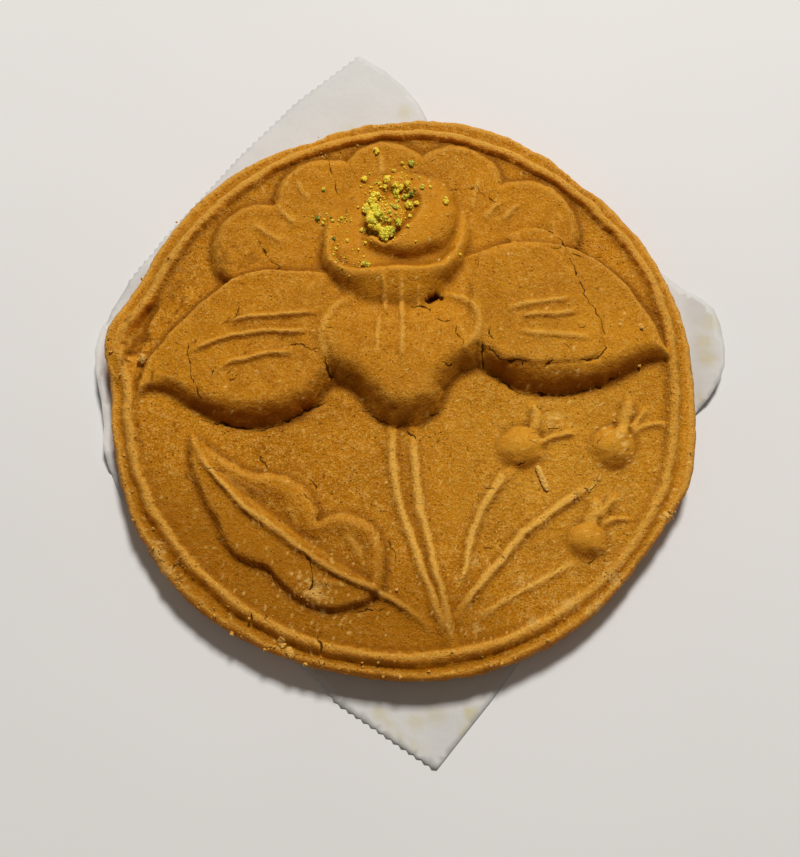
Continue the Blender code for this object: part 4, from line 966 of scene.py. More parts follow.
on_ring = ramp(from_middle, *ON_RING)
stem_tops = sum(ridge(drawn_x, drawn_y, points, 1.0, half_widths) for _, half_widths, points in STEMS)
ridge_tops = stem_tops + sum(ridge(drawn_x, drawn_y, points, VEIN_SHARE, half_widths)
                             for tall, half_widths, points in SEPALS + VEINS if tall > LEAST_VEIN)
# Painted shade where the face lies lower than its surroundings
stand = (1.0 - RING_STAND * on_ring) * (face - blurred(face, STAND_REACH)) / STAND_RANGE
# Paler crests and stem tops: partly the sweet's own paler worn tops, partly a painted highlight
crest = ramp(face - blurred(face, CREST_REACH), 0.0, CREST_RANGE) * (CREST_LEVEL + RING_CREST * on_ring)
crest = np.maximum(crest, ramp(ridge_tops, *RIDGE_TOP)) + STEM_CREST * ramp(stem_tops, *RIDGE_TOP)
# Painted shade on walls that face the viewer, away from the light, on the ring and on the relief inside it
facing_front = np.clip(blurred(np.gradient(face, SCAN, axis=0), WALL_BLUR), 0.0, STEEPEST_WALL)
ring_wall_shade = facing_front / STEEP_RING * ramp(from_middle, *RING_WALLS)
wall = facing_front / STEEPEST_WALL * (1.0 - ramp(from_middle, *OUTSIDE_RELIEF))
wall = wall * (1.0 - MIDDLE_RELIEF * (1.0 - ramp(np.abs(scan_x), *BESIDE_MIDDLE)))
polished = [CUP_POLISH * blurred((bowl(scan_x, scan_y) > 0) * 1.0, CUP_BLUR), RING_POLISH * on_ring,
            ramp(ridge_tops, *POLISHED_RIDGE), ramp(face, *POLISHED_PETAL)]
for x, y, size, _ in FRUITS:
    inwards = size + FRUIT_MARGIN - np.hypot(scan_x - x, scan_y - y)
    polished.append(ramp(inwards, *POLISHED_FRUIT))
patch_x, patch_y, spread = PAINTED_SHEEN_PATCH
pale_side = 0.5 + 0.5 * bell(np.hypot(scan_x - patch_x, scan_y - patch_y), spread)
front_left = ramp(FRONT_LEFT_WAY[0] * scan_x + FRONT_LEFT_WAY[1] * scan_y, *FRONT_LEFT)
pale_side = pale_side - front_left * (1.0 - SPARED_CREST * on_ring * np.minimum(crest, 1.0))

# Each mask over the face, and its value on the side and underside, where the wall value gives some
# painted shade
masks = {"stand": (np.clip(0.5 + stand, 0.0, 1.0), 0.5), "crest": (crest, 0.0), "wall": (wall, 0.5),
         "polished": (np.maximum.reduce(polished), 0.4), "ring_wall_shade": (ring_wall_shade, 0.0),
         "pale_side": (pale_side, 0.5)}

crack_side = np.full((CRACK_LAYERS, *face.shape), NO_CRACK)
crack_width = np.zeros((CRACK_LAYERS, *face.shape))
sunk = np.zeros(face.shape)
layers = [[] for _ in range(CRACK_LAYERS)]
for half, depth, line in crack_lines():
    number = layer_for(line, layers)
    if number is not None:
        layers[number].append(line)
        draw_crack(number, half, depth, line)
torn = np.zeros(face.shape)
pits = [(*settled([(x, y)])[0, :2], size, depth) for x, y, size, depth in PITS]
draw = np.random.default_rng(12)
least_radius, more_radius = SMALL_PIT_RADIUS
least_depth, more_depth = SMALL_PIT_DEPTH
far = SMALL_PIT_REACH
for x, y, share in draw.uniform((-far, -far, 0), (far, far, 1), (SMALL_PITS, 3)):
    pits.append((x, y, least_radius + more_radius * share ** 3, least_depth + more_depth * share ** 2))
least, more = PIT_TORN
for x, y, size, depth in pits:
    part = window([(x, y)], 3.0 * size)
    px, py = scan_x[part], scan_y[part]
    uneven = 1.0 + PIT_UNEVENNESS * lumpy(px, py, 0.9 * size, 27)
    gap = np.hypot((px - x) * draw.uniform(*PIT_WIDTHS), (py - y) * draw.uniform(*PIT_LENGTHS)) * uneven
    mark = np.exp(-((gap / size) ** 4))
    sunk[part] = np.maximum(sunk[part], mark * depth)
    torn[part] = np.maximum(torn[part], mark * min(1.0, least + more * depth))
face = face - sunk
masks["torn"] = (torn, 0.0)
for number in range(CRACK_LAYERS):
    masks[f"crack_side_{number}"] = (crack_side[number], NO_CRACK)
    masks[f"crack_width_{number}"] = (crack_width[number], 0.0)

# The mesh of the round: squares across its face, the share of them that are cut finer, and over what
# reach the face has to bend for that and how far this is blurred; then rows down its side, each with
# how far it stands outside the edge and its share of the way down to the base, which beds into the paper
FACE_SQUARES = 232
FINER_SHARE = 0.17
FINER_REACH = 0.7
FINER_BLUR = 0.3
SIDE_ROWS = (
    (0.06, 0.06), (0.1, 0.16), (0.1, 0.32), (0.05, 0.5), (-0.1, 0.7), (-0.4, 0.86), (-0.9, 0.95),
    (-1.8, 1),
)
BASE_LEVEL = -FIELD_THICKNESS - 0.45

# Small bumps round the rim, and others down the side: height, how many to a radian, and how many from
# the rim to the base
RIM_BUMPS = ((0.16, 30.0, 0.0), (0.09, 90.0, 0.0))
SIDE_BUMPS = ((0.24, 22.0, 3.0), (0.12, 60.0, 7.0))


def disc_places(squares):
    """Rows of places on a disc of radius one, from a square grid bent to fit, and its quads."""
    ticks = np.linspace(-1.0, 1.0, squares + 1)
    u, v = (axis.ravel() for axis in np.meshgrid(ticks, ticks))
    wide = np.abs(u) > np.abs(v)
    radius = np.where(wide, np.abs(u), np.abs(v))
    safe_u, safe_v = np.where(u == 0, 1.0, u), np.where(v == 0, 1.0, v)
    angle = np.where(wide, 0.25 * math.pi * v / safe_u, 0.5 * math.pi - 0.25 * math.pi * u / safe_v)
    angle = np.where(wide & (u < 0), angle + math.pi, angle)
    angle = np.where(~wide & (v < 0), angle + math.pi, angle)
    row = squares + 1
    first = (np.arange(squares)[:, None] * row + np.arange(squares)[None, :]).ravel()
    quads = np.stack([first, first + 1, first + row + 1, first + row], axis=1)
    return radius, angle, quads


def bumps(angle, share, sizes, seed):
    """Small bumps at a share of the way down the side."""
    return sum(height * lumpy(angle * around, share * down + 0 * angle, 1.0, seed + i)
               for i, (height, around, down) in enumerate(sizes))


def round_edge(angle):
    """Radius of the outer edge, with the crumbly unevenness of a hand-pressed rim."""
    return wavy_radius(EDGE_RADIUS, EDGE_BULGES, angle) + bumps(angle, 0.0, RIM_BUMPS, 31)


def make_round():
    """The pressed round as one closed mesh, finer where it is cracked or bends most."""
    radius, angle, quads = disc_places(FACE_SQUARES)
    limit = EDGE_RADIUS + (round_edge(angle) - EDGE_RADIUS) * radius ** 5
    across, up = limit * radius * np.cos(angle), limit * radius * np.sin(angle)
    bm = bmesh.new()
    verts = [bm.verts.new((x, y, 0.0)) for x, y in zip(across, up)]
    for quad in quads.tolist():
        bm.faces.new([verts[i] for i in quad])
    bm.verts.index_update()
    bends = blurred(np.abs(face - blurred(face, FINER_REACH)), FINER_BLUR)
    detail = read_grid(bends, across, up)
    fine = detail > np.quantile(detail, 1.0 - FINER_SHARE)
    cut = [e for e in bm.edges if not e.is_boundary and all(fine[v.index] for v in e.verts)]
    bmesh.ops.subdivide_edges(bm, edges=cut, cuts=1, use_grid_fill=True)
    place = np.array([v.co[:2] for v in bm.verts])
    for vertex, level in zip(bm.verts, read_grid(face, *place.T)):
        vertex.co.z = level
    upper = sorted((v for v in bm.verts if v.is_boundary), key=lambda v: math.atan2(v.co.y, v.co.x))
    turn = np.array([math.atan2(v.co.y, v.co.x) for v in upper])
    rim_level = np.array([v.co.z for v in upper])
    for outside, share in SIDE_ROWS:
        out = round_edge(turn) + outside + bumps(turn, share, SIDE_BUMPS, 33) * (1.0 - share ** 6)
        level = rim_level + (BASE_LEVEL - rim_level) * share
        lower = [bm.verts.new((r * math.cos(a), r * math.sin(a), z)) for r, a, z in zip(out, turn, level)]
        for i in range(len(upper)):
            j = (i + 1) % len(upper)
            bm.faces.new([upper[j], upper[i], lower[i], lower[j]])
        upper = lower
    bm.faces.new(list(reversed(upper)))
    bmesh.ops.recalc_face_normals(bm, faces=bm.faces[:])
    bm.transform(Matrix.Scale(MM, 4) @ Matrix.Translation((*RING_CENTRE, field_z)))
    mesh = bpy.data.meshes.new("pressed_round")
    bm.to_mesh(mesh)
    bm.free()
    return mesh


# Colours of the sweet, from its palest grains and painted glints to the painted shade at the bottom of a
# crack
LIGHT_BROWN = (0.710, 0.320, 0.020)
BODY_BROWN = (0.535, 0.200, 0.002)
DEEP_BROWN = (0.375, 0.128, 0.001)
WALL_SHADE_BROWN = (0.290, 0.064, 0.001)
RING_SHADE = (0.660, 0.190, 0.001)
WARM_SIDE = (0.290, 0.098, 0.001)
PAINTED_SHEEN = (0.800, 0.460, 0.060)
GOLDEN_CREST_AND_HIGHLIGHT = (0.770, 0.415, 0.070)
BEIGE_FLECK = (0.740, 0.390, 0.070)
TORN_BROWN = (0.820, 0.500, 0.120)
SHADE_AND_SPECK_DARK = (0.170, 0.045, 0.001)
PIT_SHADE_BROWN = (0.095, 0.022, 0.002)
CRACK_SHADE_DARK = (0.055, 0.014, 0.001)
PALE_GRAIN_AND_GLINT = (0.860, 0.560, 0.160)

# Patches of painted shade as seen, at the left: x, y, reach and strength
PAINTED_SHADE_PATCHES = (
    (-67.2, 18.4, 1.5, 0.25), (-68.9, 15, 1.8, 0.45), (-70.3, 11.4, 1.9, 0.7), (-71.2, 7.6, 1.7, 0.8),
    (-61, 25.5, 2.2, 0.35), (-58.5, 30.5, 2, 0.3), (-48, 33, 2.2, 0.45), (-41.6, 32.4, 1.8, 0.4),
)

# Pale scrapes on the face: x, y, reach and strength; then how uneven both kinds of marks are
SCRATCHES = (
    (54.2, -16.2, 0.7, 0.7), (55.6, -18.4, 0.7, 0.8), (51.5, -51.5, 1.8, 0.5), (66.4, -36.3, 1, 0.7),
    (47.4, -59.1, 1.6, 0.45), (40, -58.5, 1.6, 0.35), (31, -63, 1.6, 0.35), (28.7, -52.5, 1.2, 0.4),
    (17.8, -48.1, 1.2, 0.4), (17.5, -64.3, 1.2, 0.4), (-62, -45.5, 1.8, 0.4), (-59, -50.5, 1.6, 0.45),
    (-2.3, 24.8, 0.3, 0.8), (39, -10.4, 1.4, 0.4), (37.2, -12.6, 1.4, 0.3), (-22, -56, 2.2, 0.5),
)
MARK_UNEVENNESS = (1.1, 1.2)


def math_node(tree, operation, *values):
    """What one step of arithmetic makes of sockets or fixed numbers."""
    node = add(tree, "Math", operation=operation)
    feed(tree, node, dict(enumerate(values)))
    return node.outputs[0]


def new_group(name, takes, gives):
    """An empty node group that takes a place and some values and gives some values, and its ends."""
    group = bpy.data.node_groups.new(name, "ShaderNodeTree")
    group.interface.new_socket("Place", in_out="INPUT", socket_type="NodeSocketVector")
    for way, names in (("INPUT", takes), ("OUTPUT", gives)):
        for socket in names:
            group.interface.new_socket(socket, in_out=way, socket_type="NodeSocketFloat")
    return group, group.nodes.new("NodeGroupInput").outputs, group.nodes.new("NodeGroupOutput")


def crack_line():
    """Node group for a crack's crisp dark line of painted shade, from how far to its side a point is and its
    width.
    """
    group, given, result = new_group("crack line", ("Side", "Half width"), ("Mask",))
    wobble = between(group, noise(group, given["Place"], 1300.0, 3.0, 0.6), 0.25, 0.75, -0.16, 0.16)
    off = math_node(group, "ABSOLUTE", math_node(group, "ADD", given["Side"], wobble))
    swell = between(group, noise(group, given["Place"], 800.0, 2.0), 0.3, 0.7, 0.55, 1.5)
    width = math_node(group, "MULTIPLY", given["Half width"], swell)
    inside_line = between(group, math_node(group, "SUBTRACT", width, off), -0.05, 0.05)
    real = between(group, given["Half width"], 0.01, 0.05)
    feed(group, result, {"Mask": math_node(group, "MULTIPLY", inside_line, real)})
    return group


def pressed_grain():
    """Node group for the grain of the pressed sweet: pale grains, partly painted glints, pinholes and how
    high it stands.
    """
    kinds = ("Pale grains", "Pinholes", "Blotches", "Mottle", "Speckle", "Height")
    group, given, result = new_group("pressed grain", (), kinds)
    place = given["Place"]

    def spots(scale, kept, size):
        """Round spots in some of the cells of a random pattern."""
        cells = add(group, "TexVoronoi")
        feed(group, cells, {"Vector": place, "Scale": scale, "Randomness": 1.0})
        chance = add(group, "SeparateColor")
        feed(group, chance, {"Color": cells.outputs["Color"]})
        chosen = between(group, chance.outputs["Red"], kept, kept + 0.02)
        spot = between(group, cells.outputs["Distance"], size, 0.6 * size)
        return math_node(group, "MULTIPLY", chosen, spot)

    pale = spots(2100.0, 0.95, 0.46)
    holes = spots(1300.0, 0.90, 0.32)
    coarse = noise(group, place, 480.0, 4.0, 0.65)
    fine = noise(group, place, 1300.0, 3.0, 0.7)
    speckle = noise(group, place, 2300.0, 2.0, 0.6)
    height = coarse
    for value, share in ((fine, 1.0), (speckle, 0.35), (holes, -0.6), (pale, 0.25)):
        height = math_node(group, "MULTIPLY_ADD", value, share, height)
    feed(group, result, dict(zip(kinds, (pale, holes, coarse, fine, speckle, height))))
    return group


grain_group = pressed_grain()
crack_group = crack_line()


def sweet_finish(name, light, body, deep, cracked=False):
    """Caramel-brown pressed cheese: mottled, paler on crests partly as a painted highlight, with painted
    shade in hollows and cracks.
    """
    made, tree, shader, place = new_finish(name)
    grain = add(tree, "Group", node_tree=grain_group)
    feed(tree, grain, {"Place": place})
    broad = between(tree, noise(tree, place, 38.0, 3.0), 0.3, 0.7)
    close = between(tree, noise(tree, place, 260.0, 5.0, 0.65), 0.3, 0.7)
    colour = blend_colours(tree, broad, deep, body)
    colour = tint(tree, colour, close, 0.2, 1.0, 0.45, light)
    # Paler crests: partly the sweet's own paler worn tops and stems, partly a painted highlight
    colour = tint(tree, colour, surface_mask(tree, "crest"), 0.1, 1.5, 0.96, GOLDEN_CREST_AND_HIGHLIGHT)
    plain = blend_colours(tree, 0.04, colour, BEIGE_FLECK)
    # Pale grains and pale speckle are partly painted glints; the rest is the grain's own tone
    for kind, low, high, share, shade in (
            ("Blotches", 0.54, 0.64, 0.42, BEIGE_FLECK), ("Mottle", 0.54, 0.64, 0.42, BEIGE_FLECK),
            ("Mottle", 0.46, 0.34, 0.50, deep), ("Speckle", 0.57, 0.68, 0.50, PALE_GRAIN_AND_GLINT),
            ("Speckle", 0.43, 0.32, 0.50, SHADE_AND_SPECK_DARK), ("Pale grains", 0.0, 1.0, 0.60, PALE_GRAIN_AND_GLINT),
            ("Pinholes", 0.0, 1.0, 0.75, SHADE_AND_SPECK_DARK)):
        colour = tint(tree, colour, grain.outputs[kind], low, high, share, shade)
    polished = surface_mask(tree, "polished")
    colour = tint(tree, colour, polished, 0.0, 1.0, 0.6, plain)
    # Painted sheen at the right, darker and warmer at the front left, then painted shade on the walls that
    # face the viewer, in hollows and in the patches at the left, and last the pale scrapes
    for mask, low, high, share, shade in (
            ("pale_side", 0.5, 1.0, 0.17, PAINTED_SHEEN), ("pale_side", 0.5, 0.0, 0.60, WARM_SIDE),
            ("ring_wall_shade", 0.25, 1.0, 0.50, RING_SHADE), ("wall", 0.2, 1.2, 0.90, WALL_SHADE_BROWN),
            ("stand", 0.42, 0.05, 0.65, SHADE_AND_SPECK_DARK), ("left_painted_shade", 0.0, 1.0, 1.0, SHADE_AND_SPECK_DARK),
            ("scratched", 0.0, 1.0, 1.0, PALE_GRAIN_AND_GLINT)):
        colour = tint(tree, colour, surface_mask(tree, mask), low, high, share, shade)
    roughly = between(tree, polished, 0.0, 1.0, 1.0, 0.5)
    height = math_node(tree, "MULTIPLY", grain.outputs["Height"], roughly)
    # Painted shade in the pits and cracks
    if cracked:
        pits = surface_mask(tree, "torn")
        colour = tint(tree, colour, pits, 0.25, 0.6, 1.0, PIT_SHADE_BROWN)
        dark = between(tree, pits, 0.85, 1.1, 0.0, 0.5)
        for number in range(CRACK_LAYERS):
            line = add(tree, "Group", node_tree=crack_group)
            feed(tree, line, {"Place": place, "Side": surface_mask(tree, f"crack_side_{number}"),
                              "Half width": surface_mask(tree, f"crack_width_{number}")})
            dark = math_node(tree, "MAXIMUM", dark, line.outputs["Mask"])
        colour = tint(tree, colour, dark, 0.0, 1.0, 0.9, CRACK_SHADE_DARK)
        height = math_node(tree, "MULTIPLY_ADD", dark, -1.5, height)
    feed(tree, shader, {"Base Color": colour, "Roughness": between(tree, close, 0.0, 1.0, 0.42, 0.58),
                        "Subsurface Weight": 0.2, "Subsurface Radius": (0.0012, 0.0005, 0.0002),
                        "Subsurface Scale": 1.0, "Specular IOR Level": 0.09,
                        "Specular Tint": (1.0, 0.78, 0.45, 1.0)})
    raise_by(tree, shader, height, 0.0006, 1.0)
    return made


sweet_brown = sweet_finish("pressed sweet", LIGHT_BROWN, BODY_BROWN, DEEP_BROWN, cracked=True)
pressed_round = smooth_piece(make_round(), sweet_brown)
points = np.array([v.co for v in pressed_round.data.vertices]) / MM - (*RING_CENTRE, field_z)
round_x, round_y, _ = points.T
on_face = np.hypot(round_x, round_y) < round_edge(np.arctan2(round_y, round_x)) + 0.05
for name, (grid, elsewhere) in masks.items():
    set_mask(pressed_round, name, np.where(on_face, read_grid(grid, round_x, round_y), elsewhere))
level, swing = MARK_UNEVENNESS
for name, marks, size in (("scratched", SCRATCHES, 0.6), ("left_painted_shade", PAINTED_SHADE_PATCHES, 1.2)):
    uneven = level + swing * lumpy(round_x, round_y, size, 41)
    set_mask(pressed_round, name, marked(round_x, round_y, marks, uneven))
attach(pressed_round, "root")
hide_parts("sandesh")


# Bits of the sweet itself, torn from the rim when the mould was lifted, lie loose on the face: a few
# shreds, a lump by the left edge, and many crumbs, mostly along the rim.

# Shreds as seen: their start, middle and end, then how wide and how tall they are
SHREDS = (
    ((33.6, -23.4), (34.6, -26), (36, -30), 1.7, 1.1),
    ((-29.9, -66.7), (-29.9, -68), (-29.2, -68.9), 2, 0.8),
    ((-28.4, -68.9), (-27.8, -70.2), (-26.7, -71.1), 1.8, 0.8),
    ((46.4, -30), (47.2, -29), (48, -28.4), 0.7, 0.5),
    ((48.8, -27.4), (49.4, -26.6), (49.8, -25.6), 0.6, 0.4),
)

# How finely a shred is made along it, how many dots go round it, how rough it is, the share of its
# length over which it tapers, and the least that is left at its ends
SHRED_STEP = 0.25
SHRED_SIDES = 12
SHRED_ROUGHNESS = 0.22
SHRED_TAPER = 0.14
SHRED_END = 0.25

# Crumbs as seen: x, y and radius
SWEET_CRUMBS = (
    (-68.3, 5, 1.2), (62.5, 14, 0.5), (61.2, 3.4, 0.45), (-42, -65.5, 0.5), (-34, -69.5, 0.45),
    (-24, -73, 0.5), (-20, -72.5, 0.6), (-38, -62, 0.4), (-2, -55, 0.4), (-12.9, 67.9, 0.3),
    (-17.5, 63.9, 0.3), (-2.1, 26.2, 0.25), (3.1, 60, 0.3), (2.1, 57.8, 0.3), (51.4, -3.8, 0.25),
    (53.8, -11.5, 0.25), (19.2, 33.8, 0.25), (11.8, 46.7, 0.3),
)

# Small heaps of paler crumbs as seen: how many, the middle of the heap, and its reach both ways; then
# their least and largest radius
CRUMB_HEAPS = (
    (12, (-22.4, 64.8), (0.8, 0.5)), (16, (-16.2, 32.9), (0.9, 0.6)), (8, (-11.5, 32.2), (1.4, 0.5)),
    (20, (43.4, -30.9), (0.9, 0.7)), (12, (46.4, -29.6), (0.8, 0.8)), (8, (48.8, -26.8), (0.6, 0.8)),
    (14, (66.6, -36.2), (0.5, 0.9)), (12, (51.6, -51.4), (1.2, 0.8)), (8, (13.2, -52), (0.4, 1.2)),
    (14, (-21.4, -55.8), (1.8, 1)), (14, (-60.5, -45.5), (0.8, 1.6)), (10, (-56, -52.5), (0.8, 0.8)),
)
HEAP_CRUMB = (0.10, 0.28)

# How much narrower or wider than a ball a crumb may be
LUMP_WIDTHS = (0.72, 1.28)

# Crumbs strewn along the rim: how many, in which direction and how widely, how far in from the edge,
# and by how much more; those on the face: how many and how far out.  Both have a least radius and how
# much more it may be.
RIM_CRUMBS = 150
RIM_CRUMB_WAY = (235.0, 48.0)
RIM_CRUMB_PLACE = (0.4, 8.0)
RIM_CRUMB = (0.10, 0.32)
FIELD_CRUMBS = 30
FIELD_REACH = 70.0
FIELD_CRUMB = (0.10, 0.15)


def unit_ball(detail):
    """Points and triangles of a ball of radius one."""
    bm = bmesh.new()
    bmesh.ops.create_icosphere(bm, subdivisions=detail, radius=1.0)
    ball = np.array([v.co[:] for v in bm.verts])
    triangles = np.array([[v.index for v in f.verts] for f in bm.faces])
    bm.free()
    return ball, triangles


def rough_lumps(name, places, detail, knobs, finish):
    """One piece of many rough lumps, each given as x, y, z, radius and tone."""
    ball, triangles = unit_ball(detail)
    draw = np.random.default_rng(len(places))
    across, up = ball[:, 0] + 1.7 * ball[:, 2], ball[:, 1] - 1.3 * ball[:, 2]
    verts, faces = [], []
    for number, (x, y, z, radius, _) in enumerate(places):
        shift = draw.uniform(-50.0, 50.0, 2)
        swell = lumpy(across + shift[0], up + shift[1], 0.6, 51)
        spin = np.array(Euler(draw.uniform(0.0, 6.28, 3)).to_matrix())
        shape = ball * draw.uniform(*LUMP_WIDTHS, 3) * (1.0 + knobs * swell[:, None])
        verts.append(shape @ spin.T * radius + (x, y, z))
        faces.append(triangles + number * len(ball))
    piece = placed_mesh(name, np.vstack(verts), np.vstack(faces).tolist(), finish)
    piece.data.shade_flat()
    set_mask(piece, "tone", np.repeat([place[4] for place in places], len(ball)))
    return piece


def strewn(draw, heaps):
    """Random places in heaps, each given by how many, its middle, and its reach both ways."""
    return np.vstack([draw.normal(0.0, 1.0, (many, 2)) * reach + middle for many, middle, reach in heaps])


def lying(seen, radius, sunk=0.3):
    """Places on the face for lumps seen at x, y, each sunk in it by a share of its radius."""
    place = settled(seen)
    place[:, 2] += np.asarray(radius) * (1.0 - sunk)
    return place


def shred_points(start, middle, end, width, tall):
    """A torn flat strip that lies on the face, thick in the middle and ragged at its ends."""
    line = smooth_curve(settled([start, middle, end]), SHRED_STEP)
    ahead = np.gradient(line[:, :2], axis=0)
    ahead = ahead / np.hypot(*ahead.T)[:, None]
    sideways = np.column_stack([-ahead[:, 1], ahead[:, 0]])
    turn = np.arange(SHRED_SIDES) * 2.0 * math.pi / SHRED_SIDES
    along = np.linspace(0.0, 1.0, len(line))
    taper = np.clip(np.minimum(along, 1.0 - along) / SHRED_TAPER, SHRED_END, 1.0) ** 0.5
    rows = []
    for number, share in enumerate(taper):
        rough = 1.0 + SHRED_ROUGHNESS * lumpy(turn * 2.0 + number * 0.7, 0 * turn + number * 0.9, 1.0, 61)
        out = 0.5 * width * share * rough * np.cos(turn)
        up = 0.5 * tall * share * rough * np.sin(turn) + 0.3 * tall
        level = line[number, 2] + up
        rows.append(np.column_stack([line[number, :2] + out[:, None] * sideways[number], level]))
    faces = []
    for row in range(0, (len(rows) - 1) * SHRED_SIDES, SHRED_SIDES):
        for i in range(SHRED_SIDES):
            j = (i + 1) % SHRED_SIDES
            faces.append((row + i, row + j, row + SHRED_SIDES + j, row + SHRED_SIDES + i))
    faces.append(tuple(reversed(range(SHRED_SIDES))))
    faces.append(tuple(range((len(rows) - 1) * SHRED_SIDES, len(rows) * SHRED_SIDES)))
    return np.vstack(rows), faces


def crumbs_at(draw, turn, far, sizes):
    """Places as seen, by direction and distance, each with a radius drawn from its least upwards."""
    least, more = sizes
    size = least + more * draw.random(len(turn)) ** 2
    return np.column_stack([far * np.cos(turn), far * np.sin(turn), size])


pale_sweet = sweet_finish("torn sweet", PALE_GRAIN_AND_GLINT, TORN_BROWN, BODY_BROWN)
verts, faces = [], []
for shred in SHREDS:
    strip, sides = shred_points(*shred)
    faces += [tuple(i + sum(map(len, verts)) for i in side) for side in sides]
    verts.append(strip)
shreds = placed_mesh("torn_shreds", np.vstack(verts), faces, pale_sweet)
draw = np.random.default_rng(17)
turn = np.radians(draw.normal(*RIM_CRUMB_WAY, RIM_CRUMBS))
inset, more = RIM_CRUMB_PLACE
far = wavy_radius(EDGE_RADIUS, EDGE_BULGES, turn) - inset - draw.uniform(0.0, 1.0, RIM_CRUMBS) ** 2 * more
rim_seen = crumbs_at(draw, turn, far, RIM_CRUMB)
turn = draw.uniform(0.0, 2.0 * math.pi, FIELD_CRUMBS)
far = FIELD_REACH * np.sqrt(draw.random(FIELD_CRUMBS))
field_seen = crumbs_at(draw, turn, far, FIELD_CRUMB)
heap_seen = strewn(draw, CRUMB_HEAPS)
size = draw.uniform(*HEAP_CRUMB, len(heap_seen))
seen = np.vstack([SWEET_CRUMBS, rim_seen, field_seen, np.column_stack([heap_seen, size])])
places = np.column_stack([lying(seen[:, :2], seen[:, 2]), seen[:, 2], draw.random(len(seen))])
sweet_crumbs = rough_lumps("sweet_crumbs", places, 2, 0.5, pale_sweet)
# The loose bits take even values: none of the painted hollow shade or sheen, and some of the pale crest
# colour, which is partly a painted highlight
for piece in (shreds, sweet_crumbs):
    for name, value in (("stand", 0.5), ("crest", 0.6), ("pale_side", 0.5)):
        set_mask(piece, name, np.full(len(piece.data.vertices), value))
    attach(piece, "root")


# Chopped pistachio, strewn on the middle of the flower.  A nut breaks into rough yellow-green crumbs
# that cling together, a few still with their dark green skin, and a fine dust between them.

# The crumbs as seen: x, y, radius and tone, from yellow at nought to the dark green skin at one
PISTACHIO_CRUMBS = (
    (-10.9, 57.6, 0.9, 0.05), (-4.7, 57.4, 1.3, 0.1), (-5.3, 55.2, 0.7, 0.1), (-6.6, 56.2, 0.6, 0.1),
    (-2.3, 55.9, 0.9, 0), (-0.9, 55, 0.9, 0.05), (0.8, 56.2, 0.9, 0), (-2.1, 53.9, 1, 0.3),
    (-2.5, 52.3, 0.5, 0.2), (-2.2, 50.8, 0.5, 0.25), (-1.8, 49.3, 0.5, 0.2), (-2.5, 49, 0.8, 0.55),
    (-8, 52.4, 1.4, 0.15), (-8.6, 50.6, 1.3, 0.1), (-10.2, 48.4, 1.5, 0.3), (-7.9, 48.4, 1.6, 0.25),
    (-8.4, 44.9, 2.1, 0.1), (-7, 46.9, 1.4, 0.4), (-8.9, 46.8, 1.4, 0.1), (-7.6, 43.2, 1.3, 0.25),
    (-5.2, 40.9, 2.1, 0.3), (-3.6, 41.5, 1.3, 0.5), (-6.3, 42.1, 1, 0.2), (1.8, 52.9, 0.9, 0.85),
    (0.4, 52.1, 1, 0.55), (1.3, 49.6, 1.2, 0.4), (3.4, 50.2, 0.85, 0), (-4.7, 49.6, 0.5, 0.2),
    (-3.9, 47.8, 0.5, 0.25), (-4.9, 46, 0.5, 0.3), (-3.9, 45.1, 0.5, 0.25), (-1.6, 44.4, 1, 0.45),
    (1.6, 46.4, 0.6, 0.15), (0.9, 43.4, 0.6, 0.05), (1.9, 62.3, 0.9, 0.6), (-0.6, 62.6, 0.6, 0.15),
    (-2.8, 60.2, 0.6, 0.2), (5, 55.2, 0.8, 0.4), (7.1, 55.2, 0.5, 0.2), (11.3, 50.9, 1, 0.05),
    (-7.6, 66.1, 1, 0.05), (-22, 54.4, 0.6, 0.45), (-23.5, 45.7, 0.8, 0.8), (-22, 44.2, 0.5, 0.1),
    (-19.3, 45.1, 0.5, 0.3), (-16.9, 45.9, 0.5, 0.3), (-14.4, 45.7, 0.4, 0.3), (-18.9, 39.7, 0.55, 1),
    (-18.4, 36.8, 0.5, 0.1), (-11.5, 42.2, 0.6, 0.35), (-10.4, 38.6, 0.4, 0), (-15.4, 39.2, 0.5, 0.3),
    (-10.8, 32.4, 1, 0.55), (-9.5, 32.1, 0.5, 0.4),
)

# The dust, as seen: how many, the middle of the patch, and its reach both ways
PISTACHIO_DUST = (
    (220, (-8.4, 48), (1.5, 3.6)), (200, (-4, 49), (3.6, 4.6)), (60, (-1, 56.5), (4.4, 3)),
    (40, (-18.6, 42), (2.4, 4.4)), (30, (-15, 34), (3.4, 2.2)), (24, (-20, 45), (4, 1)),
    (30, (0, 50), (11, 9)),
)

# Colours of the nut by tone, and of its palest specks
NUT_GREENS = (
    (0.0, (0.95, 0.70, 0.030)), (0.35, (0.78, 0.68, 0.030)),
    (0.62, (0.42, 0.44, 0.015)), (1.0, (0.060, 0.090, 0.010)),
)
PALE_NUT = (0.82, 0.80, 0.34)

# A crumb of nut: how much narrower or wider than a ball it may be, how flat it lies, how many grains the
# smallest has and how many more as it grows; then how far out the grains lie and their radius, as shares
# of the crumb's, what every grain has on top of that, and how much their tone varies
CRUMB_WIDTHS = (0.75, 1.2)
CRUMB_FLATNESS = 0.62
CRUMB_GRAINS = (10, 30)
GRAIN_PLACE = (0.2, 0.8)
GRAIN_RADIUS = (0.10, 0.28)
GRAIN_LEAST = 0.12
GRAIN_TONE = 0.16

# The dust: its least radius, how much more it may be and how rare that is, then its tone and how much
# that varies
DUST_RADIUS = (0.10, 0.26, 2.5)
DUST_TONE = (0.28, 0.2)


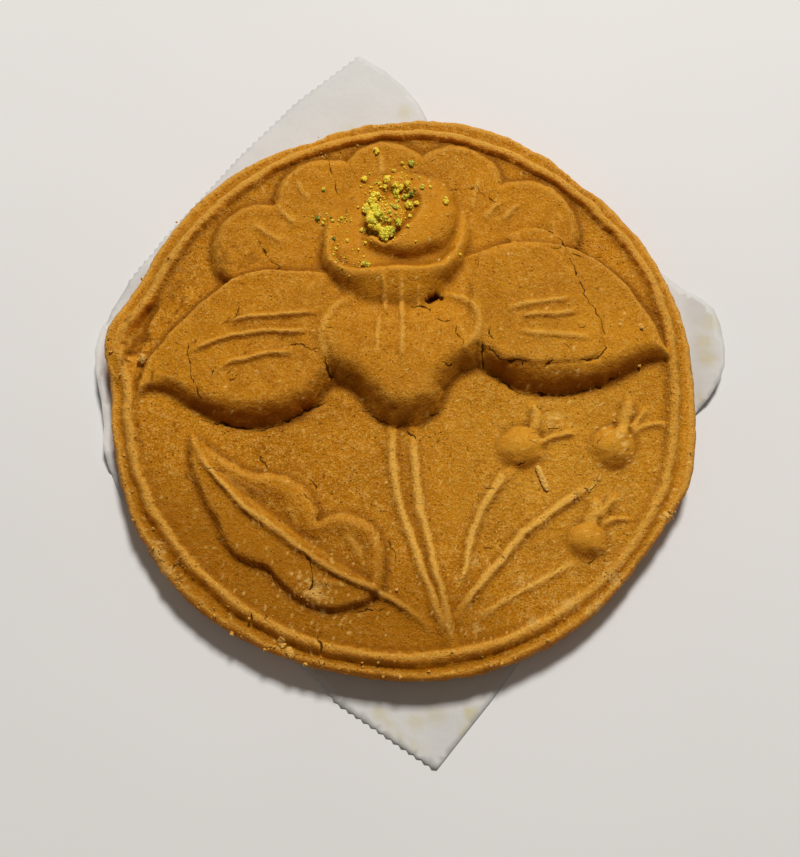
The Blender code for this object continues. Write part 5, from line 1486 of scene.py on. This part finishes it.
def pistachio_finish():
    """Rough nut: yellow through yellow-green to the dark green of its skin, by each crumb's tone."""
    made, tree, shader, place = new_finish("chopped pistachio")
    cloud = between(tree, noise(tree, place, 900.0, 4.0, 0.6), 0.3, 0.7, -0.20, 0.12)
    greens = add(tree, "ValToRGB")
    feed(tree, greens, {"Fac": math_node(tree, "ADD", surface_mask(tree, "tone"), cloud)})
    stops = greens.color_ramp.elements
    stops[1].position = NUT_GREENS[-1][0]
    for position, _ in NUT_GREENS[1:-1]:
        stops.new(position)
    for stop, (_, colour) in zip(stops, NUT_GREENS):
        stop.color = (*colour, 1.0)
    colour = tint(tree, greens.outputs["Color"], noise(tree, place, 2400.0, 2.0), 0.55, 0.75, 0.4, PALE_NUT)
    feed(tree, shader, {"Base Color": colour, "Roughness": 0.6, "Subsurface Weight": 0.15,
                        "Subsurface Radius": (0.0008, 0.0008, 0.0002), "Subsurface Scale": 1.0})
    raise_by(tree, shader, noise(tree, place, 3000.0, 3.0), 0.00012, 0.8)
    return made


def broken_crumbs():
    """Each large crumb as a clump of rough grains: x, y, z, radius and tone of every grain."""
    draw = np.random.default_rng(23)
    grains = []
    fewest, more = CRUMB_GRAINS
    for x, y, size, tone in PISTACHIO_CRUMBS:
        middle = lying([(x, y)], [0.75 * size], 0.25)[0]
        stretch = draw.uniform(*CRUMB_WIDTHS, 3) * (1.0, 1.0, CRUMB_FLATNESS)
        for _ in range(round(fewest + more * size ** 2)):
            way = draw.normal(0.0, 1.0, 3)
            way = way / np.linalg.norm(way)
            place = middle + way * size * draw.uniform(*GRAIN_PLACE) * stretch
            radius = size * draw.uniform(*GRAIN_RADIUS) + GRAIN_LEAST
            grains.append((*place, radius, np.clip(tone + draw.normal(0.0, GRAIN_TONE), 0.0, 1.0)))
    return grains


pistachio_green = pistachio_finish()
crumbs = rough_lumps("pistachio_crumbs", broken_crumbs(), 2, 0.35, pistachio_green)
draw = np.random.default_rng(29)
dust_seen = strewn(draw, PISTACHIO_DUST)
least, more, rarity = DUST_RADIUS
dust_size = least + more * draw.random(len(dust_seen)) ** rarity
dust_tone = np.clip(draw.normal(*DUST_TONE, len(dust_seen)), 0.0, 1.0)
places = np.column_stack([lying(dust_seen, dust_size), dust_size, dust_tone])
dust = rough_lumps("pistachio_dust", places, 1, 0.3, pistachio_green)
for piece in (crumbs, dust):
    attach(piece, "root")


# A plain pale table top in a plain studio: one large soft light high up on the far side, a weak fill
# and a camera that looks down on the sweet as the viewer does.
FLOOR_SIZE = 3.0
BELOW_PAPER = 0.0001
BOARD_SHADES = ((0.70, 0.695, 0.69), (0.73, 0.725, 0.72))
FOCAL_LENGTH = 48.94
LOOKING_DOWN = 73.5


def floor_finish():
    """Plain pale matt board."""
    made, tree, shader, place = new_finish("pale board")
    shade = between(tree, noise(tree, place, 6.0, 2.0), 0.3, 0.7)
    feed(tree, shader, {"Base Color": blend_colours(tree, shade, *BOARD_SHADES), "Roughness": 0.7})
    return made


floor_mesh = bpy.data.meshes.new("floor")
half = 0.5 * FLOOR_SIZE
corners = [(-half, -half, 0), (half, -half, 0), (half, half, 0), (-half, half, 0)]
floor_mesh.from_pydata(corners, [], [(0, 1, 2, 3)])
floor = smooth_piece(floor_mesh, floor_finish())
floor.location.z = -BELOW_PAPER


def soft_light(name, towards, distance, size, power, colour):
    """A square studio light that shines at the sweet from one direction."""
    lamp = bpy.data.lights.new(name, "AREA")
    lamp.shape = "SQUARE"
    lamp.size = size
    lamp.energy = power
    lamp.color = colour
    made = into_scene(name, lamp)
    made.location = Vector(towards).normalized() * distance
    made.rotation_euler = made.location.to_track_quat("Z", "Y").to_euler()


soft_light("key", (0.15, 0.80, 1.13), 1.9, 0.32, 37.0, (1.0, 0.97, 0.94))
soft_light("fill", (-0.4, -0.3, 0.85), 1.5, 1.2, 0.6, (1.0, 1.0, 1.0))
world = bpy.data.worlds.new("studio")
bpy.context.scene.world = world
world.use_nodes = True
sky = world.node_tree.nodes["Background"]
feed(world.node_tree, sky, {"Color": (1.0, 0.90, 0.76, 1.0), "Strength": 0.14})
bpy.context.scene.view_settings.view_transform = "Standard"

lens = bpy.data.cameras.new("camera")
lens.lens = FOCAL_LENGTH
camera = into_scene("camera", lens)
camera.location = ((np.array(EYE) + (*RING_CENTRE, field_z)) * MM).tolist()
camera.rotation_euler = (math.radians(90.0 - LOOKING_DOWN), 0.0, 0.0)
bpy.context.scene.camera = camera
